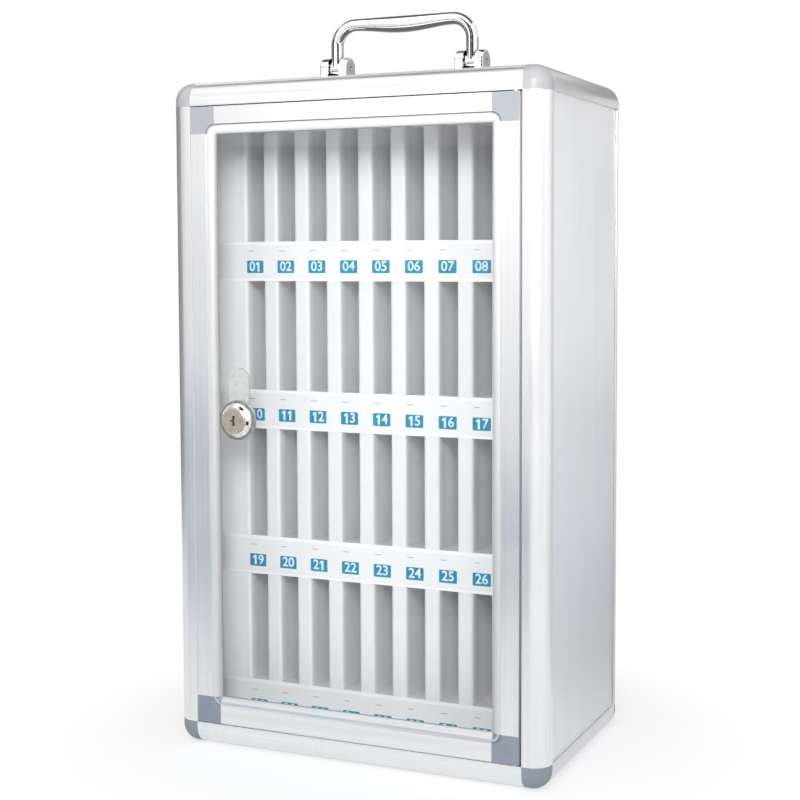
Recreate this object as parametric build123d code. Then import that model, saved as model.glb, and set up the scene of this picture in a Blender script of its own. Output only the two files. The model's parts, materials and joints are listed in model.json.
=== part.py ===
from build123d import *
import os

# Cell phone locker box: an aluminium-framed cabinet with a clear door, a cam lock, a white
# rack of 36 slots and a folding carrying handle.  Millimetres, +Z up, +Y into the cabinet;
# the origin is the centre of the base, and depths are measured back from the front face.

# ---------------------------------------------------------------- driving dimensions
WIDTH = 356.0               # outside, across the front
DEPTH = 217.0               # outside, front to back
HEIGHT = 600.0              # outside, without the handle

# frame extrusion, the same for posts and rails
FRAME_FACE = 21.5           # its broad side, seen from the front on the posts
FRAME_SIDE = 17.5           # its narrow side
FRAME_RADIUS = 16.5         # rounded outer edge
FRAME_WALL = 1.6
REBATE = 11.0               # step behind the broad side, beside the tube
SEAT_LIP = 8.0              # ledge that carries a panel's edge
CAP_SPIGOT = 14.0           # how far a corner cap plugs into each extrusion
SPIGOT_CLEARANCE = 0.15

# sheet panels
PANEL_THICKNESS = 1.5
PANEL_GROOVE = 1.0          # shadow gap between a post and a side panel
PANEL_TUCK = 4.4            # how far a panel reaches behind a flat flank

# door
DOOR_GAP = 1.0              # above and below the door
LOCK_SIDE_GAP = 0.8
HINGE_SIDE_GAP = 2.4
DOOR_FACE = 16.3            # flat part of the door extrusion
DOOR_BEAD = 7.7             # rounded bead that runs down to the pane
BEAD_DROP = 3.9
BEAD_LINE_WIDTH = 0.8       # fine V groove between the flat face and the bead
BEAD_LINE_DEPTH = 0.7
BEAD_EDGE = 0.6             # thickness of the bead at its inner edge
DOOR_THICKNESS = 10.0
DOOR_WALL = 1.4
REAR_LIP = 4.0              # width of the lip behind the pane
PANE_THICKNESS = 3.0
PANE_GRIP = 5.4             # how far the pane enters the extrusion
PANE_EDGE_GAP = 0.3         # room past the pane's edge in its groove
PANE_CLEARANCE = 0.1
GASKET_THICKNESS = 0.5
GASKET_SHOW = 0.5           # gasket seen beyond the bead
DOOR_SPIGOT = 12.0

# door hinge: a steel pin at the top and one at the bottom
HINGE_INSET = 4.2           # from the door's edge
HINGE_SETBACK = 4.2         # from the door's face
HINGE_PIN_RADIUS = 1.5
HINGE_PIN_CLEARANCE = 0.05
HINGE_PIN_IN_DOOR = 12.0
HINGE_PIN_IN_BLOCK = 8.0
HINGE_COLLAR_RADIUS = 3.5
HINGE_BLOCK_DEPTH = 11.0
HINGE_BLOCK_REACH = 7.0     # from the pin towards the middle of the cabinet

# cam lock through the pane
LOCK_INSET = 63.0           # from the cabinet's side to the lock's axis
LOCK_BELOW_MIDDLE = 1.0     # from half the cabinet's height
BEZEL_RADIUS = 15.5
BEZEL_STAND = 4.0           # how far the bezel stands out from the pane
BEZEL_LAND = 0.8            # flat ring round the plug, before the bezel slopes down
BEZEL_EDGE = 0.9            # straight edge of the bezel next to the pane
BEZEL_ROUND = 0.5
BARREL_RADIUS = 12.5
BARREL_HOLE_CLEARANCE = 0.2
RING_NUT_RADIUS = 18.0
RING_NUT_THICKNESS = 2.4
RING_NUT_CLEARANCE = 0.02
PLUG_FACE_RADIUS = 11.0
PLUG_FACE_THICKNESS = 4.5
PLUG_PROUD = 1.0            # plug face in front of the bezel
PLUG_RADIUS = 8.0
PLUG_CLEARANCE = 0.06
PLUG_ROUND = 0.5
KEYWAY_WIDTH = 2.4
KEYWAY_HEIGHT = 9.0
KEYWAY_DEPTH = 7.0
KEYWAY_WARD = 2.2           # side groove of the keyway
INDEX_NOTCH = 1.8           # width of the two index notches
INDEX_RADIUS = 13.0
INDEX_ANGLES = (32.0, 98.0) # clockwise from the top
CAM_WIDTH = 20.0
CAM_REACH = 46.5
CAM_THICKNESS = 2.0
CAM_GAP = 0.5               # between the barrel's end and the cam
CAM_SQUARE = 8.0
CAM_SQUARE_CLEARANCE = 0.05
CAM_SCREW_HEAD_RADIUS = 6.0
CAM_SCREW_HEAD = 3.0
CAM_SCREW_RADIUS = 2.5
CAM_SCREW_LENGTH = 8.0

# rack of phone slots
TIERS = 4
SLOTS = 9
RACK_SETBACK = 66.7         # finger room behind the front face
RACK_BACK_GAP = 0.5         # in front of the rear posts
RACK_SIDE_GAP = 2.4
RACK_SHEET = 1.2
SLOT_PITCH = 32.1
SLOT_WIDTH = 17.2
SLOTS_BELOW_TOP = 40.3      # ceiling of the top row, from the cabinet's top
LABEL_STRIP_HEIGHT = 36.3   # front of the shelf below a row of slots
COLUMN_RADIUS = 3.0         # rounded front edges beside each slot
HEADER_HEIGHT = 15.0

# folding handle and its feet
HANDLE_BEHIND_MIDDLE = 8.5  # the handle stands a little behind the middle of the top
HANDLE_LEG_X = 67.5         # from the middle to a leg's centre
HANDLE_RISE = 64.0          # the grip's top above the cabinet's top
PIVOT_ABOVE_PANEL = 20.6
LEG_THICKNESS = 11.0
LEG_DEPTH = 13.0
SHOULDER_RADIUS = 19.0      # centre line of the bend
GRIP_END_THICKNESS = 11.0
GRIP_SECTIONS = 4           # lofted sections from the middle of the grip to each end
GRIP_MID_THICKNESS = 15.0
GRIP_MID_DEPTH = 16.5
FOOT_WIDTH = 27.4
FOOT_DEPTH = 20.0
FOOT_SLOT_CLEARANCE = 0.3
FOOT_FLOOR = 13.0           # solid base under the slot
FOOT_EDGE = 1.2
PIVOT_PIN_RADIUS = 2.5
PIVOT_PIN_CLEARANCE = 0.05
PIVOT_PIN_INSET = 0.4       # pin ends below the feet's outer sides
FOOT_BOLT_RADIUS = 2.5
FOOT_BOLT_CLEARANCE = 0.25
FOOT_BOLT_IN_FOOT = 10.0
FOOT_BOLT_HEAD_RADIUS = 5.0
FOOT_BOLT_HEAD = 3.5
PRESS_CLEARANCE = 0.02      # round piece set in a hole of its own body

# ---------------------------------------------------------------- derived places
FRONT = -DEPTH / 2
INNER_X = WIDTH / 2 - FRAME_FACE            # half width of the door opening
OPENING_LOW = FRAME_FACE
OPENING_HIGH = HEIGHT - FRAME_FACE
PANEL_OUTER = FRAME_WALL                    # panels lie one wall below the surface
PANEL_INNER = PANEL_OUTER + PANEL_THICKNESS
TUBE_SIDE = FRAME_FACE - REBATE             # width of the tube part of the extrusion
RACK_BACK = DEPTH - FRAME_SIDE - RACK_BACK_GAP
SLOT_BACK = RACK_BACK - RACK_SHEET          # front of the sheet that closes the slots
RACK_HALF = WIDTH / 2 - PANEL_INNER - RACK_SIDE_GAP
RACK_BASE = TUBE_SIDE
TIER_PITCH = (HEIGHT - SLOTS_BELOW_TOP - RACK_BASE) / TIERS
SLOT_HEIGHT = TIER_PITCH - LABEL_STRIP_HEIGHT
DOOR_LEFT = -INNER_X + LOCK_SIDE_GAP
DOOR_RIGHT = INNER_X - HINGE_SIDE_GAP
DOOR_LOW = OPENING_LOW + DOOR_GAP
DOOR_HIGH = OPENING_HIGH - DOOR_GAP
DOOR_EDGE = DOOR_FACE + DOOR_BEAD           # width of the door extrusion and its corners
GASKET_SEAT = BEAD_DROP + BEAD_EDGE         # depth at which the gasket lies
PANE_FRONT = GASKET_SEAT + GASKET_THICKNESS
PANE_BACK = PANE_FRONT + PANE_THICKNESS
PANE_BEHIND = PANE_BACK + PANE_CLEARANCE    # rear wall of the pane's groove
PANE_EDGE = DOOR_EDGE - PANE_GRIP           # the pane's edge, from the door's edge
GROOVE_FLOOR = PANE_EDGE - PANE_EDGE_GAP
LOCK_X = -WIDTH / 2 + LOCK_INSET
LOCK_Z = HEIGHT / 2 - LOCK_BELOW_MIDDLE
PANEL_TOP = HEIGHT - PANEL_OUTER
PIVOT_Z = PANEL_TOP + PIVOT_ABOVE_PANEL
HANDLE_Y = HANDLE_BEHIND_MIDDLE
HANDLE_TOP = HEIGHT + HANDLE_RISE

os.makedirs("parts", exist_ok=True)


# ---------------------------------------------------------------- small tools
def save(name, *solids):
    shape = solids[0] if len(solids) == 1 else Compound(children=list(solids))
    export_step(shape, f"parts/{name}.step")


def rectangle(u_low, u_high, v_low, v_high):
    middle = Pos((u_low + u_high) / 2, (v_low + v_high) / 2)
    return middle * Rectangle(u_high - u_low, v_high - v_low)


def block(x_low, x_high, deep_low, deep_high, z_low, z_high):
    """A box whose depth limits are measured back from the front face."""
    size = Box(x_high - x_low, deep_high - deep_low, z_high - z_low)
    return Pos((x_low + x_high) / 2, FRONT + (deep_low + deep_high) / 2, (z_low + z_high) / 2) * size


def to_left(solid):
    return mirror(solid, about=Plane.YZ)


def to_back(solid):
    return mirror(solid, about=Plane.XZ)


def to_bottom(solid):
    return mirror(solid, about=Plane.XY.offset(HEIGHT / 2))


def door_to_left(solid):
    return mirror(solid, about=Plane.YZ.offset((DOOR_LEFT + DOOR_RIGHT) / 2))


# ---------------------------------------------------------------- frame extrusion
# Sections are drawn with u across the broad side, from the door opening outwards,
# and v back from the outer surface.
def frame_outline(inset):
    """The extrusion's rounded outline, drawn inside the outer surface by inset."""
    corner = (FRAME_FACE - inset, inset)
    outline = rectangle(0, corner[0], corner[1], FRAME_SIDE)
    outer = outline.vertices().sort_by(Axis.X)[-2:].sort_by(Axis.Y)[0]
    return fillet(outer, FRAME_RADIUS - inset)


def frame_section():
    outline = frame_outline(0)
    hollow = frame_outline(FRAME_WALL)
    inner_wall = rectangle(REBATE, REBATE + FRAME_WALL, 0, FRAME_SIDE) & outline
    rear_wall = rectangle(REBATE, FRAME_FACE, FRAME_SIDE - FRAME_WALL, FRAME_SIDE) & outline
    return (outline - hollow) + inner_wall + rear_wall


def tube_bore(clearance):
    """The inside of the tube, shrunk by a clearance for what plugs into it."""
    room = rectangle(REBATE + FRAME_WALL + clearance, FRAME_FACE,
                     0, FRAME_SIDE - FRAME_WALL - clearance)
    return frame_outline(FRAME_WALL + clearance) & room


def seat_section():
    """The ledge beside the tube that a panel's edge lies on."""
    lip_outer = FRAME_FACE - PANEL_INNER
    return rectangle(lip_outer - FRAME_WALL, lip_outer, FRAME_SIDE, FRAME_SIDE + SEAT_LIP)


POST_PLANE = Plane((INNER_X, FRONT, OPENING_LOW), x_dir=(1, 0, 0), z_dir=(0, 0, 1))
FRONT_RAIL_PLANE = Plane((INNER_X, FRONT, OPENING_HIGH), x_dir=(0, 0, 1), z_dir=(-1, 0, 0))
SIDE_RAIL_PLANE = Plane((WIDTH / 2, -FRONT - FRAME_SIDE, OPENING_HIGH),
                        x_dir=(0, 0, 1), z_dir=(0, -1, 0))


def frame_bar(plane, length, lip_inset):
    """One cut of the extrusion; its seat lip is notched back at both ends."""
    bar = extrude(plane * frame_section(), length)
    lip = extrude(plane.offset(lip_inset) * seat_section(), length - 2 * lip_inset)
    return bar + lip


post = frame_bar(POST_PLANE, OPENING_HIGH - OPENING_LOW, 0)
front_rail = frame_bar(FRONT_RAIL_PLANE, 2 * INNER_X, INNER_X - (WIDTH / 2 - FRAME_SIDE - SEAT_LIP))
side_rail = frame_bar(SIDE_RAIL_PLANE, DEPTH - 2 * FRAME_SIDE, 0)

save("post_front_right", post)
save("post_front_left", to_left(post))
save("post_rear_right", to_back(post))
save("post_rear_left", to_back(to_left(post)))
save("rail_front_top", front_rail)
save("rail_front_bottom", to_bottom(front_rail))
save("rail_rear_top", to_back(front_rail))
save("rail_rear_bottom", to_back(to_bottom(front_rail)))
save("rail_right_top", side_rail)
save("rail_right_bottom", to_bottom(side_rail))
save("rail_left_top", to_left(side_rail))
save("rail_left_bottom", to_left(to_bottom(side_rail)))


# ---------------------------------------------------------------- three-way corner caps
def corner_cap():
    """Moulded corner: a ball-rounded block with a spigot into each of the three bars."""
    body = block(INNER_X, WIDTH / 2, 0, FRAME_SIDE, OPENING_HIGH, HEIGHT)
    upright = body.edges().filter_by(Axis.Z).sort_by(Axis.X)[-2:].sort_by(Axis.Y)[0]
    across = body.edges().filter_by(Axis.X).sort_by(Axis.Z)[-2:].sort_by(Axis.Y)[0]
    along = body.edges().filter_by(Axis.Y).sort_by(Axis.Z)[-2:].sort_by(Axis.X)[-1]
    body = fillet([upright, across, along], FRAME_RADIUS)
    plug = tube_bore(SPIGOT_CLEARANCE)
    down = extrude(POST_PLANE.offset(OPENING_HIGH - OPENING_LOW) * plug, -CAP_SPIGOT)
    sideways = extrude(FRONT_RAIL_PLANE * plug, CAP_SPIGOT)
    backwards = extrude(SIDE_RAIL_PLANE.offset(DEPTH - 2 * FRAME_SIDE) * plug, -CAP_SPIGOT)
    return body + down + sideways + backwards


cap = corner_cap()
for side, move_side in (("right", lambda solid: solid), ("left", to_left)):
    for end, move_end in (("front", lambda solid: solid), ("rear", to_back)):
        for level, move_level in (("top", lambda solid: solid), ("bottom", to_bottom)):
            save(f"corner_cap_{end}_{side}_{level}", move_level(move_end(move_side(cap))))

# ---------------------------------------------------------------- sheet panels
panel_half_depth = -FRONT - FRAME_SIDE - PANEL_GROOVE
side_panel = Pos(WIDTH / 2 - (PANEL_OUTER + PANEL_INNER) / 2, 0, HEIGHT / 2) * Box(
    PANEL_THICKNESS, 2 * panel_half_depth, OPENING_HIGH - OPENING_LOW + 2 * PANEL_TUCK)
flat_half_width = WIDTH / 2 - FRAME_SIDE - PANEL_GROOVE
flat_panel = Pos(0, 0, HEIGHT - (PANEL_OUTER + PANEL_INNER) / 2) * Box(
    2 * flat_half_width, 2 * panel_half_depth, PANEL_THICKNESS)
bolt_hole = Cylinder(FOOT_BOLT_RADIUS + FOOT_BOLT_CLEARANCE, 3 * PANEL_THICKNESS)
top_panel = flat_panel
for leg_x in (-HANDLE_LEG_X, HANDLE_LEG_X):
    top_panel -= Pos(leg_x, HANDLE_Y, PANEL_TOP) * bolt_hole
back_place = Pos(0, -FRONT - (PANEL_OUTER + PANEL_INNER) / 2, HEIGHT / 2)
opening_height = OPENING_HIGH - OPENING_LOW
back_panel = back_place * Box(2 * (INNER_X + PANEL_TUCK), PANEL_THICKNESS, opening_height)
back_panel += back_place * Box(2 * INNER_X, PANEL_THICKNESS, opening_height + 2 * PANEL_TUCK)

save("side_panel_right", side_panel)
save("side_panel_left", to_left(side_panel))
save("top_panel", top_panel)
save("bottom_panel", to_bottom(flat_panel))
save("back_panel", back_panel)


# ---------------------------------------------------------------- rack of phone slots
def shelf(z_low, z_high):
    """Folded sheet: slot floor on top, label strip in front, slot ceiling below."""
    outer = block(-RACK_HALF, RACK_HALF, RACK_SETBACK, SLOT_BACK, z_low, z_high)
    inner = block(-RACK_HALF - 1, RACK_HALF + 1, RACK_SETBACK + RACK_SHEET, SLOT_BACK + 1,
                  z_low + RACK_SHEET, z_high - RACK_SHEET)
    return outer - inner


def column(x_low, x_high, z_low):
    """Folded upright between two slots, rounded in front and open at the back."""
    outer = rectangle(x_low, x_high, RACK_SETBACK, SLOT_BACK)
    outer = fillet(outer.vertices().sort_by(Axis.Y)[:2], COLUMN_RADIUS)
    inner = rectangle(x_low + RACK_SHEET, x_high - RACK_SHEET, RACK_SETBACK + RACK_SHEET, SLOT_BACK + 1)
    inner = fillet(inner.vertices().sort_by(Axis.Y)[:2], COLUMN_RADIUS - RACK_SHEET)
    return extrude(Plane((0, FRONT, z_low)) * (outer - inner), SLOT_HEIGHT)


def slot_middle(number):
    return (number - (SLOTS - 1) / 2) * SLOT_PITCH


for tier in range(1, TIERS + 1):
    shelf_low = RACK_BASE + (TIERS - tier) * TIER_PITCH
    slot_floor = shelf_low + LABEL_STRIP_HEIGHT
    save(f"rack_shelf_{tier}", shelf(shelf_low, slot_floor))
    columns = []
    left_edge = -RACK_HALF
    for number in range(SLOTS):
        columns.append(column(left_edge, slot_middle(number) - SLOT_WIDTH / 2, slot_floor))
        left_edge = slot_middle(number) + SLOT_WIDTH / 2
    columns.append(column(left_edge, RACK_HALF, slot_floor))
    save(f"rack_columns_{tier}", *columns)

ceiling = RACK_BASE + TIERS * TIER_PITCH
header = block(-RACK_HALF, RACK_HALF, RACK_SETBACK, SLOT_BACK, ceiling, ceiling + RACK_SHEET)
header += block(-RACK_HALF, RACK_HALF, RACK_SETBACK, RACK_SETBACK + RACK_SHEET,
                ceiling, ceiling + HEADER_HEIGHT)
save("rack_header", header)
save("rack_back", block(-RACK_HALF, RACK_HALF, SLOT_BACK, RACK_BACK, RACK_BASE, ceiling + RACK_SHEET))


# ---------------------------------------------------------------- door extrusion
# Section: u inwards from the door's edge to the pane, v back from the door's face.
def over_bead(edge, way):
    """The air over the rounded bead, which climbs from its inner edge this way, 1 or -1."""
    top = edge + way * DOOR_BEAD
    return make_face([Line((edge, 0), (top, 0)),
                      TangentArc((top, 0), (edge, BEAD_DROP), tangent=(-way, 0)),
                      Line((edge, BEAD_DROP), (edge, 0))])


def bead_line(start, way):
    """V groove that sets the bead off from the flat face."""
    return make_face(Polyline(
        (start, 0), (start + way * BEAD_LINE_WIDTH, 0),
        (start + way * BEAD_LINE_WIDTH / 2, BEAD_LINE_DEPTH), close=True))


def door_section():
    outline = make_face(Polyline(
        (0, 0), (DOOR_EDGE, 0), (DOOR_EDGE, GASKET_SEAT),
        (GROOVE_FLOOR, GASKET_SEAT), (GROOVE_FLOOR, PANE_BEHIND),
        (GROOVE_FLOOR + REAR_LIP, PANE_BEHIND), (GROOVE_FLOOR + REAR_LIP, DOOR_THICKNESS),
        (0, DOOR_THICKNESS), close=True))
    return outline - over_bead(DOOR_EDGE, -1) - bead_line(DOOR_FACE, -1) - door_bore(0)


def door_bore(clearance):
    return rectangle(DOOR_WALL + clearance, DOOR_FACE - DOOR_WALL - clearance,
                     DOOR_WALL + clearance, DOOR_THICKNESS - DOOR_WALL - clearance)


STILE_PLANE = Plane((DOOR_RIGHT, FRONT, DOOR_HIGH), x_dir=(-1, 0, 0), z_dir=(0, 0, -1))
DOOR_RAIL_PLANE = Plane((DOOR_LEFT, FRONT, DOOR_HIGH), x_dir=(0, 0, -1), z_dir=(1, 0, 0))

stile = extrude(STILE_PLANE.offset(DOOR_EDGE) * door_section(), DOOR_HIGH - DOOR_LOW - 2 * DOOR_EDGE)
door_rail = extrude(DOOR_RAIL_PLANE.offset(DOOR_EDGE) * door_section(),
                    DOOR_RIGHT - DOOR_LEFT - 2 * DOOR_EDGE)
save("door_stile_hinge_side", stile)
save("door_stile_lock_side", door_to_left(stile))
save("door_rail_top", door_rail)
save("door_rail_bottom", to_bottom(door_rail))


# ---------------------------------------------------------------- door corners
def door_corner():
    """Moulded square corner; bead and groove turn it in a quarter circle."""
    solid = block(DOOR_RIGHT - DOOR_EDGE, DOOR_RIGHT, 0, DOOR_THICKNESS, DOOR_HIGH - DOOR_EDGE, DOOR_HIGH)
    pane_corner = Pos(DOOR_RIGHT - DOOR_EDGE, FRONT, DOOR_HIGH - DOOR_EDGE)
    solid -= pane_corner * revolve(over_bead(0, 1), Axis.Y)
    solid -= pane_corner * revolve(bead_line(DOOR_BEAD, 1), Axis.Y)
    groove_x, groove_z = DOOR_RIGHT - GROOVE_FLOOR, DOOR_HIGH - GROOVE_FLOOR
    solid -= block(DOOR_RIGHT - DOOR_EDGE, groove_x, GASKET_SEAT, PANE_BEHIND,
                   DOOR_HIGH - DOOR_EDGE, groove_z)
    solid -= block(DOOR_RIGHT - DOOR_EDGE, groove_x - REAR_LIP, PANE_BEHIND, DOOR_THICKNESS,
                   DOOR_HIGH - DOOR_EDGE, groove_z - REAR_LIP)
    plug = door_bore(SPIGOT_CLEARANCE)
    solid += extrude(STILE_PLANE.offset(DOOR_EDGE) * plug, DOOR_SPIGOT)
    solid += extrude(DOOR_RAIL_PLANE.offset(DOOR_RIGHT - DOOR_LEFT - DOOR_EDGE) * plug, -DOOR_SPIGOT)
    return solid


def hinge_axis(z):
    return Pos(DOOR_RIGHT - HINGE_INSET, FRONT + HINGE_SETBACK, z)


plain_corner = door_corner()
hinge_corner = plain_corner - hinge_axis(DOOR_HIGH - HINGE_PIN_IN_DOOR / 2) * Cylinder(
    HINGE_PIN_RADIUS + PRESS_CLEARANCE, HINGE_PIN_IN_DOOR)
save("door_corner_hinge_top", hinge_corner)
save("door_corner_hinge_bottom", to_bottom(hinge_corner))
save("door_corner_lock_top", door_to_left(plain_corner))
save("door_corner_lock_bottom", door_to_left(to_bottom(plain_corner)))


# ---------------------------------------------------------------- hinge pins and their blocks
def hinge_block():
    """Bearing block that fills the rail's rebate beside the corner cap."""
    section = frame_outline(FRAME_WALL + SPIGOT_CLEARANCE) & rectangle(0, REBATE, 0, HINGE_BLOCK_DEPTH)
    length = INNER_X - (DOOR_RIGHT - HINGE_INSET - HINGE_BLOCK_REACH)
    hole = Cylinder(HINGE_PIN_RADIUS + HINGE_PIN_CLEARANCE, HINGE_PIN_IN_BLOCK)
    return (extrude(FRONT_RAIL_PLANE * section, length)
            - hinge_axis(OPENING_HIGH + HINGE_PIN_IN_BLOCK / 2) * hole)


def hinge_pin():
    """Pin with a collar that keeps the door clear of the rail."""
    length = HINGE_PIN_IN_DOOR + HINGE_PIN_IN_BLOCK
    pin = hinge_axis(DOOR_HIGH - HINGE_PIN_IN_DOOR + length / 2) * Cylinder(HINGE_PIN_RADIUS, length)
    return pin + hinge_axis(DOOR_HIGH + DOOR_GAP / 2) * Cylinder(HINGE_COLLAR_RADIUS, DOOR_GAP)


save("hinge_block_top", hinge_block())
save("hinge_block_bottom", to_bottom(hinge_block()))
save("hinge_pins", hinge_pin(), to_bottom(hinge_pin()))


# ---------------------------------------------------------------- pane and its gasket
def framed_sheet(inset, deep_low, deep_high):
    return block(DOOR_LEFT + inset, DOOR_RIGHT - inset, deep_low, deep_high,
                 DOOR_LOW + inset, DOOR_HIGH - inset)


def lock_place(depth):
    """On the lock's axis at a depth behind the front face, with the piece's +Z pointing back."""
    return Pos(LOCK_X, FRONT + depth, LOCK_Z) * Rot(-90, 0, 0)


barrel_hole = lock_place((PANE_FRONT + PANE_BACK) / 2) * Cylinder(
    BARREL_RADIUS + BARREL_HOLE_CLEARANCE, 2 * PANE_THICKNESS)
save("door_pane", framed_sheet(PANE_EDGE, PANE_FRONT, PANE_BACK) - barrel_hole)
save("pane_gasket", framed_sheet(PANE_EDGE, GASKET_SEAT, PANE_FRONT)
     - framed_sheet(DOOR_EDGE + GASKET_SHOW, GASKET_SEAT, PANE_FRONT))

# ---------------------------------------------------------------- cam lock
# Turned pieces are revolved from half sections of radius and depth behind the front face.
bezel_face = PANE_FRONT - BEZEL_STAND
plug_face = bezel_face - PLUG_PROUD
plug_shoulder = plug_face + PLUG_FACE_THICKNESS
barrel_end = PANE_BACK + RING_NUT_THICKNESS
cam_front = barrel_end + CAM_GAP
cam_back = cam_front + CAM_THICKNESS
bezel_bore = PLUG_FACE_RADIUS + PLUG_CLEARANCE
plug_bore = PLUG_RADIUS + PLUG_CLEARANCE
nut_bore = BARREL_RADIUS + RING_NUT_CLEARANCE


def turned(*outline):
    section = make_face(Polyline(*outline, close=True))
    return Pos(LOCK_X, FRONT, LOCK_Z) * revolve(section, Axis.Y)


def index_notch(angle, length):
    """Shallow mark in the bezel's rim."""
    size = Box(length, INDEX_NOTCH, 3 * INDEX_NOTCH)
    return lock_place(bezel_face) * Rot(0, 0, angle) * Pos(0, -INDEX_RADIUS, 0) * size


housing = turned((bezel_bore, bezel_face), (bezel_bore + BEZEL_LAND, bezel_face),
                 (BEZEL_RADIUS, PANE_FRONT - BEZEL_EDGE), (BEZEL_RADIUS, PANE_FRONT),
                 (BARREL_RADIUS, PANE_FRONT), (BARREL_RADIUS, barrel_end), (plug_bore, barrel_end),
                 (plug_bore, plug_shoulder), (bezel_bore, plug_shoulder))
front_rims = housing.edges().filter_by(GeomType.CIRCLE).group_by(Axis.Y)[0]
housing = fillet(front_rims.sort_by(SortBy.RADIUS)[-1], BEZEL_ROUND)
housing -= index_notch(INDEX_ANGLES[0], 3 * INDEX_NOTCH)
housing -= index_notch(INDEX_ANGLES[1], 2 * INDEX_NOTCH)
save("lock_housing", housing)
save("lock_ring_nut", turned((nut_bore, PANE_BACK), (RING_NUT_RADIUS, PANE_BACK),
                             (RING_NUT_RADIUS, barrel_end), (nut_bore, barrel_end)))

plug = turned((0, plug_face), (PLUG_FACE_RADIUS, plug_face), (PLUG_FACE_RADIUS, plug_shoulder),
              (PLUG_RADIUS, plug_shoulder), (PLUG_RADIUS, cam_front), (0, cam_front))
plug = fillet(plug.edges().filter_by(GeomType.CIRCLE).group_by(Axis.Y)[0], PLUG_ROUND)
plug += lock_place((cam_front + cam_back) / 2) * Box(CAM_SQUARE, CAM_SQUARE, CAM_THICKNESS)
screw_end = cam_back - CAM_SCREW_LENGTH
plug -= lock_place((screw_end + cam_back) / 2) * Cylinder(
    CAM_SCREW_RADIUS + PRESS_CLEARANCE, CAM_SCREW_LENGTH)
keyway = block(-KEYWAY_WIDTH / 2, KEYWAY_WIDTH / 2, plug_face, plug_face + KEYWAY_DEPTH,
               -KEYWAY_HEIGHT / 2, KEYWAY_HEIGHT / 2)
keyway += block(-KEYWAY_WIDTH / 2 - KEYWAY_WARD, 0, plug_face, plug_face + KEYWAY_DEPTH,
                -KEYWAY_WIDTH / 2, KEYWAY_WIDTH / 2)
plug -= Pos(LOCK_X, 0, LOCK_Z) * keyway
save("lock_plug", plug)

tongue_length = CAM_REACH - CAM_WIDTH / 2
cam_outline = Pos(0, tongue_length / 2) * SlotCenterToCenter(tongue_length, CAM_WIDTH, rotation=90)
cam_outline += Circle(BARREL_RADIUS)
cam_outline -= Rectangle(CAM_SQUARE + 2 * CAM_SQUARE_CLEARANCE, CAM_SQUARE + 2 * CAM_SQUARE_CLEARANCE)
cam_plane = Plane((LOCK_X, FRONT + cam_front, LOCK_Z), x_dir=(-1, 0, 0), z_dir=(0, 1, 0))
save("lock_cam", extrude(cam_plane * cam_outline, CAM_THICKNESS))

screw_face = cam_back + CAM_SCREW_HEAD
cam_screw = turned((0, screw_end), (CAM_SCREW_RADIUS, screw_end), (CAM_SCREW_RADIUS, cam_back),
                   (CAM_SCREW_HEAD_RADIUS, cam_back), (CAM_SCREW_HEAD_RADIUS, screw_face),
                   (0, screw_face))
head_rim = cam_screw.edges().filter_by(GeomType.CIRCLE).group_by(Axis.Y)[-1]
save("cam_screw", fillet(head_rim, CAM_SCREW_HEAD / 3))

# ---------------------------------------------------------------- folding handle
# One forged bail: an eye at each foot, round legs, bent shoulders and a bellied grip.
grip_line = HANDLE_TOP - GRIP_END_THICKNESS / 2     # height of the grip's centre at its ends
straight_top = grip_line - SHOULDER_RADIUS
grip_half = HANDLE_LEG_X - SHOULDER_RADIUS


def across_grip(x, thickness, depth):
    """Oval section of the grip; every section keeps the same flat top line."""
    place = Plane((x, HANDLE_Y, HANDLE_TOP - thickness / 2), x_dir=(0, 1, 0), z_dir=(1, 0, 0))
    return place * Ellipse(depth / 2, thickness / 2)


def bent_leg():
    """Eye, straight leg and shoulder on the right-hand side."""
    foot_plane = Plane((HANDLE_LEG_X, HANDLE_Y, PIVOT_Z))
    leg_section = foot_plane * Ellipse(LEG_THICKNESS / 2, LEG_DEPTH / 2)
    leg = extrude(leg_section, straight_top - PIVOT_Z)
    shoulder_section = Plane((HANDLE_LEG_X, HANDLE_Y, straight_top)) * Ellipse(
        LEG_THICKNESS / 2, LEG_DEPTH / 2)
    bend_axis = Axis((grip_half, HANDLE_Y, straight_top), (0, -1, 0))
    shoulder = revolve(shoulder_section, bend_axis, 90)
    eye = Pos(HANDLE_LEG_X, HANDLE_Y, PIVOT_Z) * Rot(0, 90, 0) * Cylinder(LEG_DEPTH / 2, LEG_THICKNESS)
    return leg + shoulder + eye


def grip():
    sections = []
    for step in range(-GRIP_SECTIONS, GRIP_SECTIONS + 1):
        share = step / GRIP_SECTIONS
        belly = (1 - share * share) ** 2
        sections.append(across_grip(share * grip_half,
                                    GRIP_END_THICKNESS + belly * (GRIP_MID_THICKNESS - GRIP_END_THICKNESS),
                                    LEG_DEPTH + belly * (GRIP_MID_DEPTH - LEG_DEPTH)))
    return loft(sections)


bail = grip() + bent_leg() + to_left(bent_leg())
pin_place = Pos(HANDLE_LEG_X, HANDLE_Y, PIVOT_Z) * Rot(0, 90, 0)
bail -= pin_place * Cylinder(PIVOT_PIN_RADIUS + PRESS_CLEARANCE, 2 * LEG_THICKNESS)
bail -= to_left(pin_place * Cylinder(PIVOT_PIN_RADIUS + PRESS_CLEARANCE, 2 * LEG_THICKNESS))
save("handle_grip", bail)

pivot_pin = pin_place * Cylinder(PIVOT_PIN_RADIUS, FOOT_WIDTH - 2 * PIVOT_PIN_INSET)
save("handle_pivot_pins", pivot_pin, to_left(pivot_pin))


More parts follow.
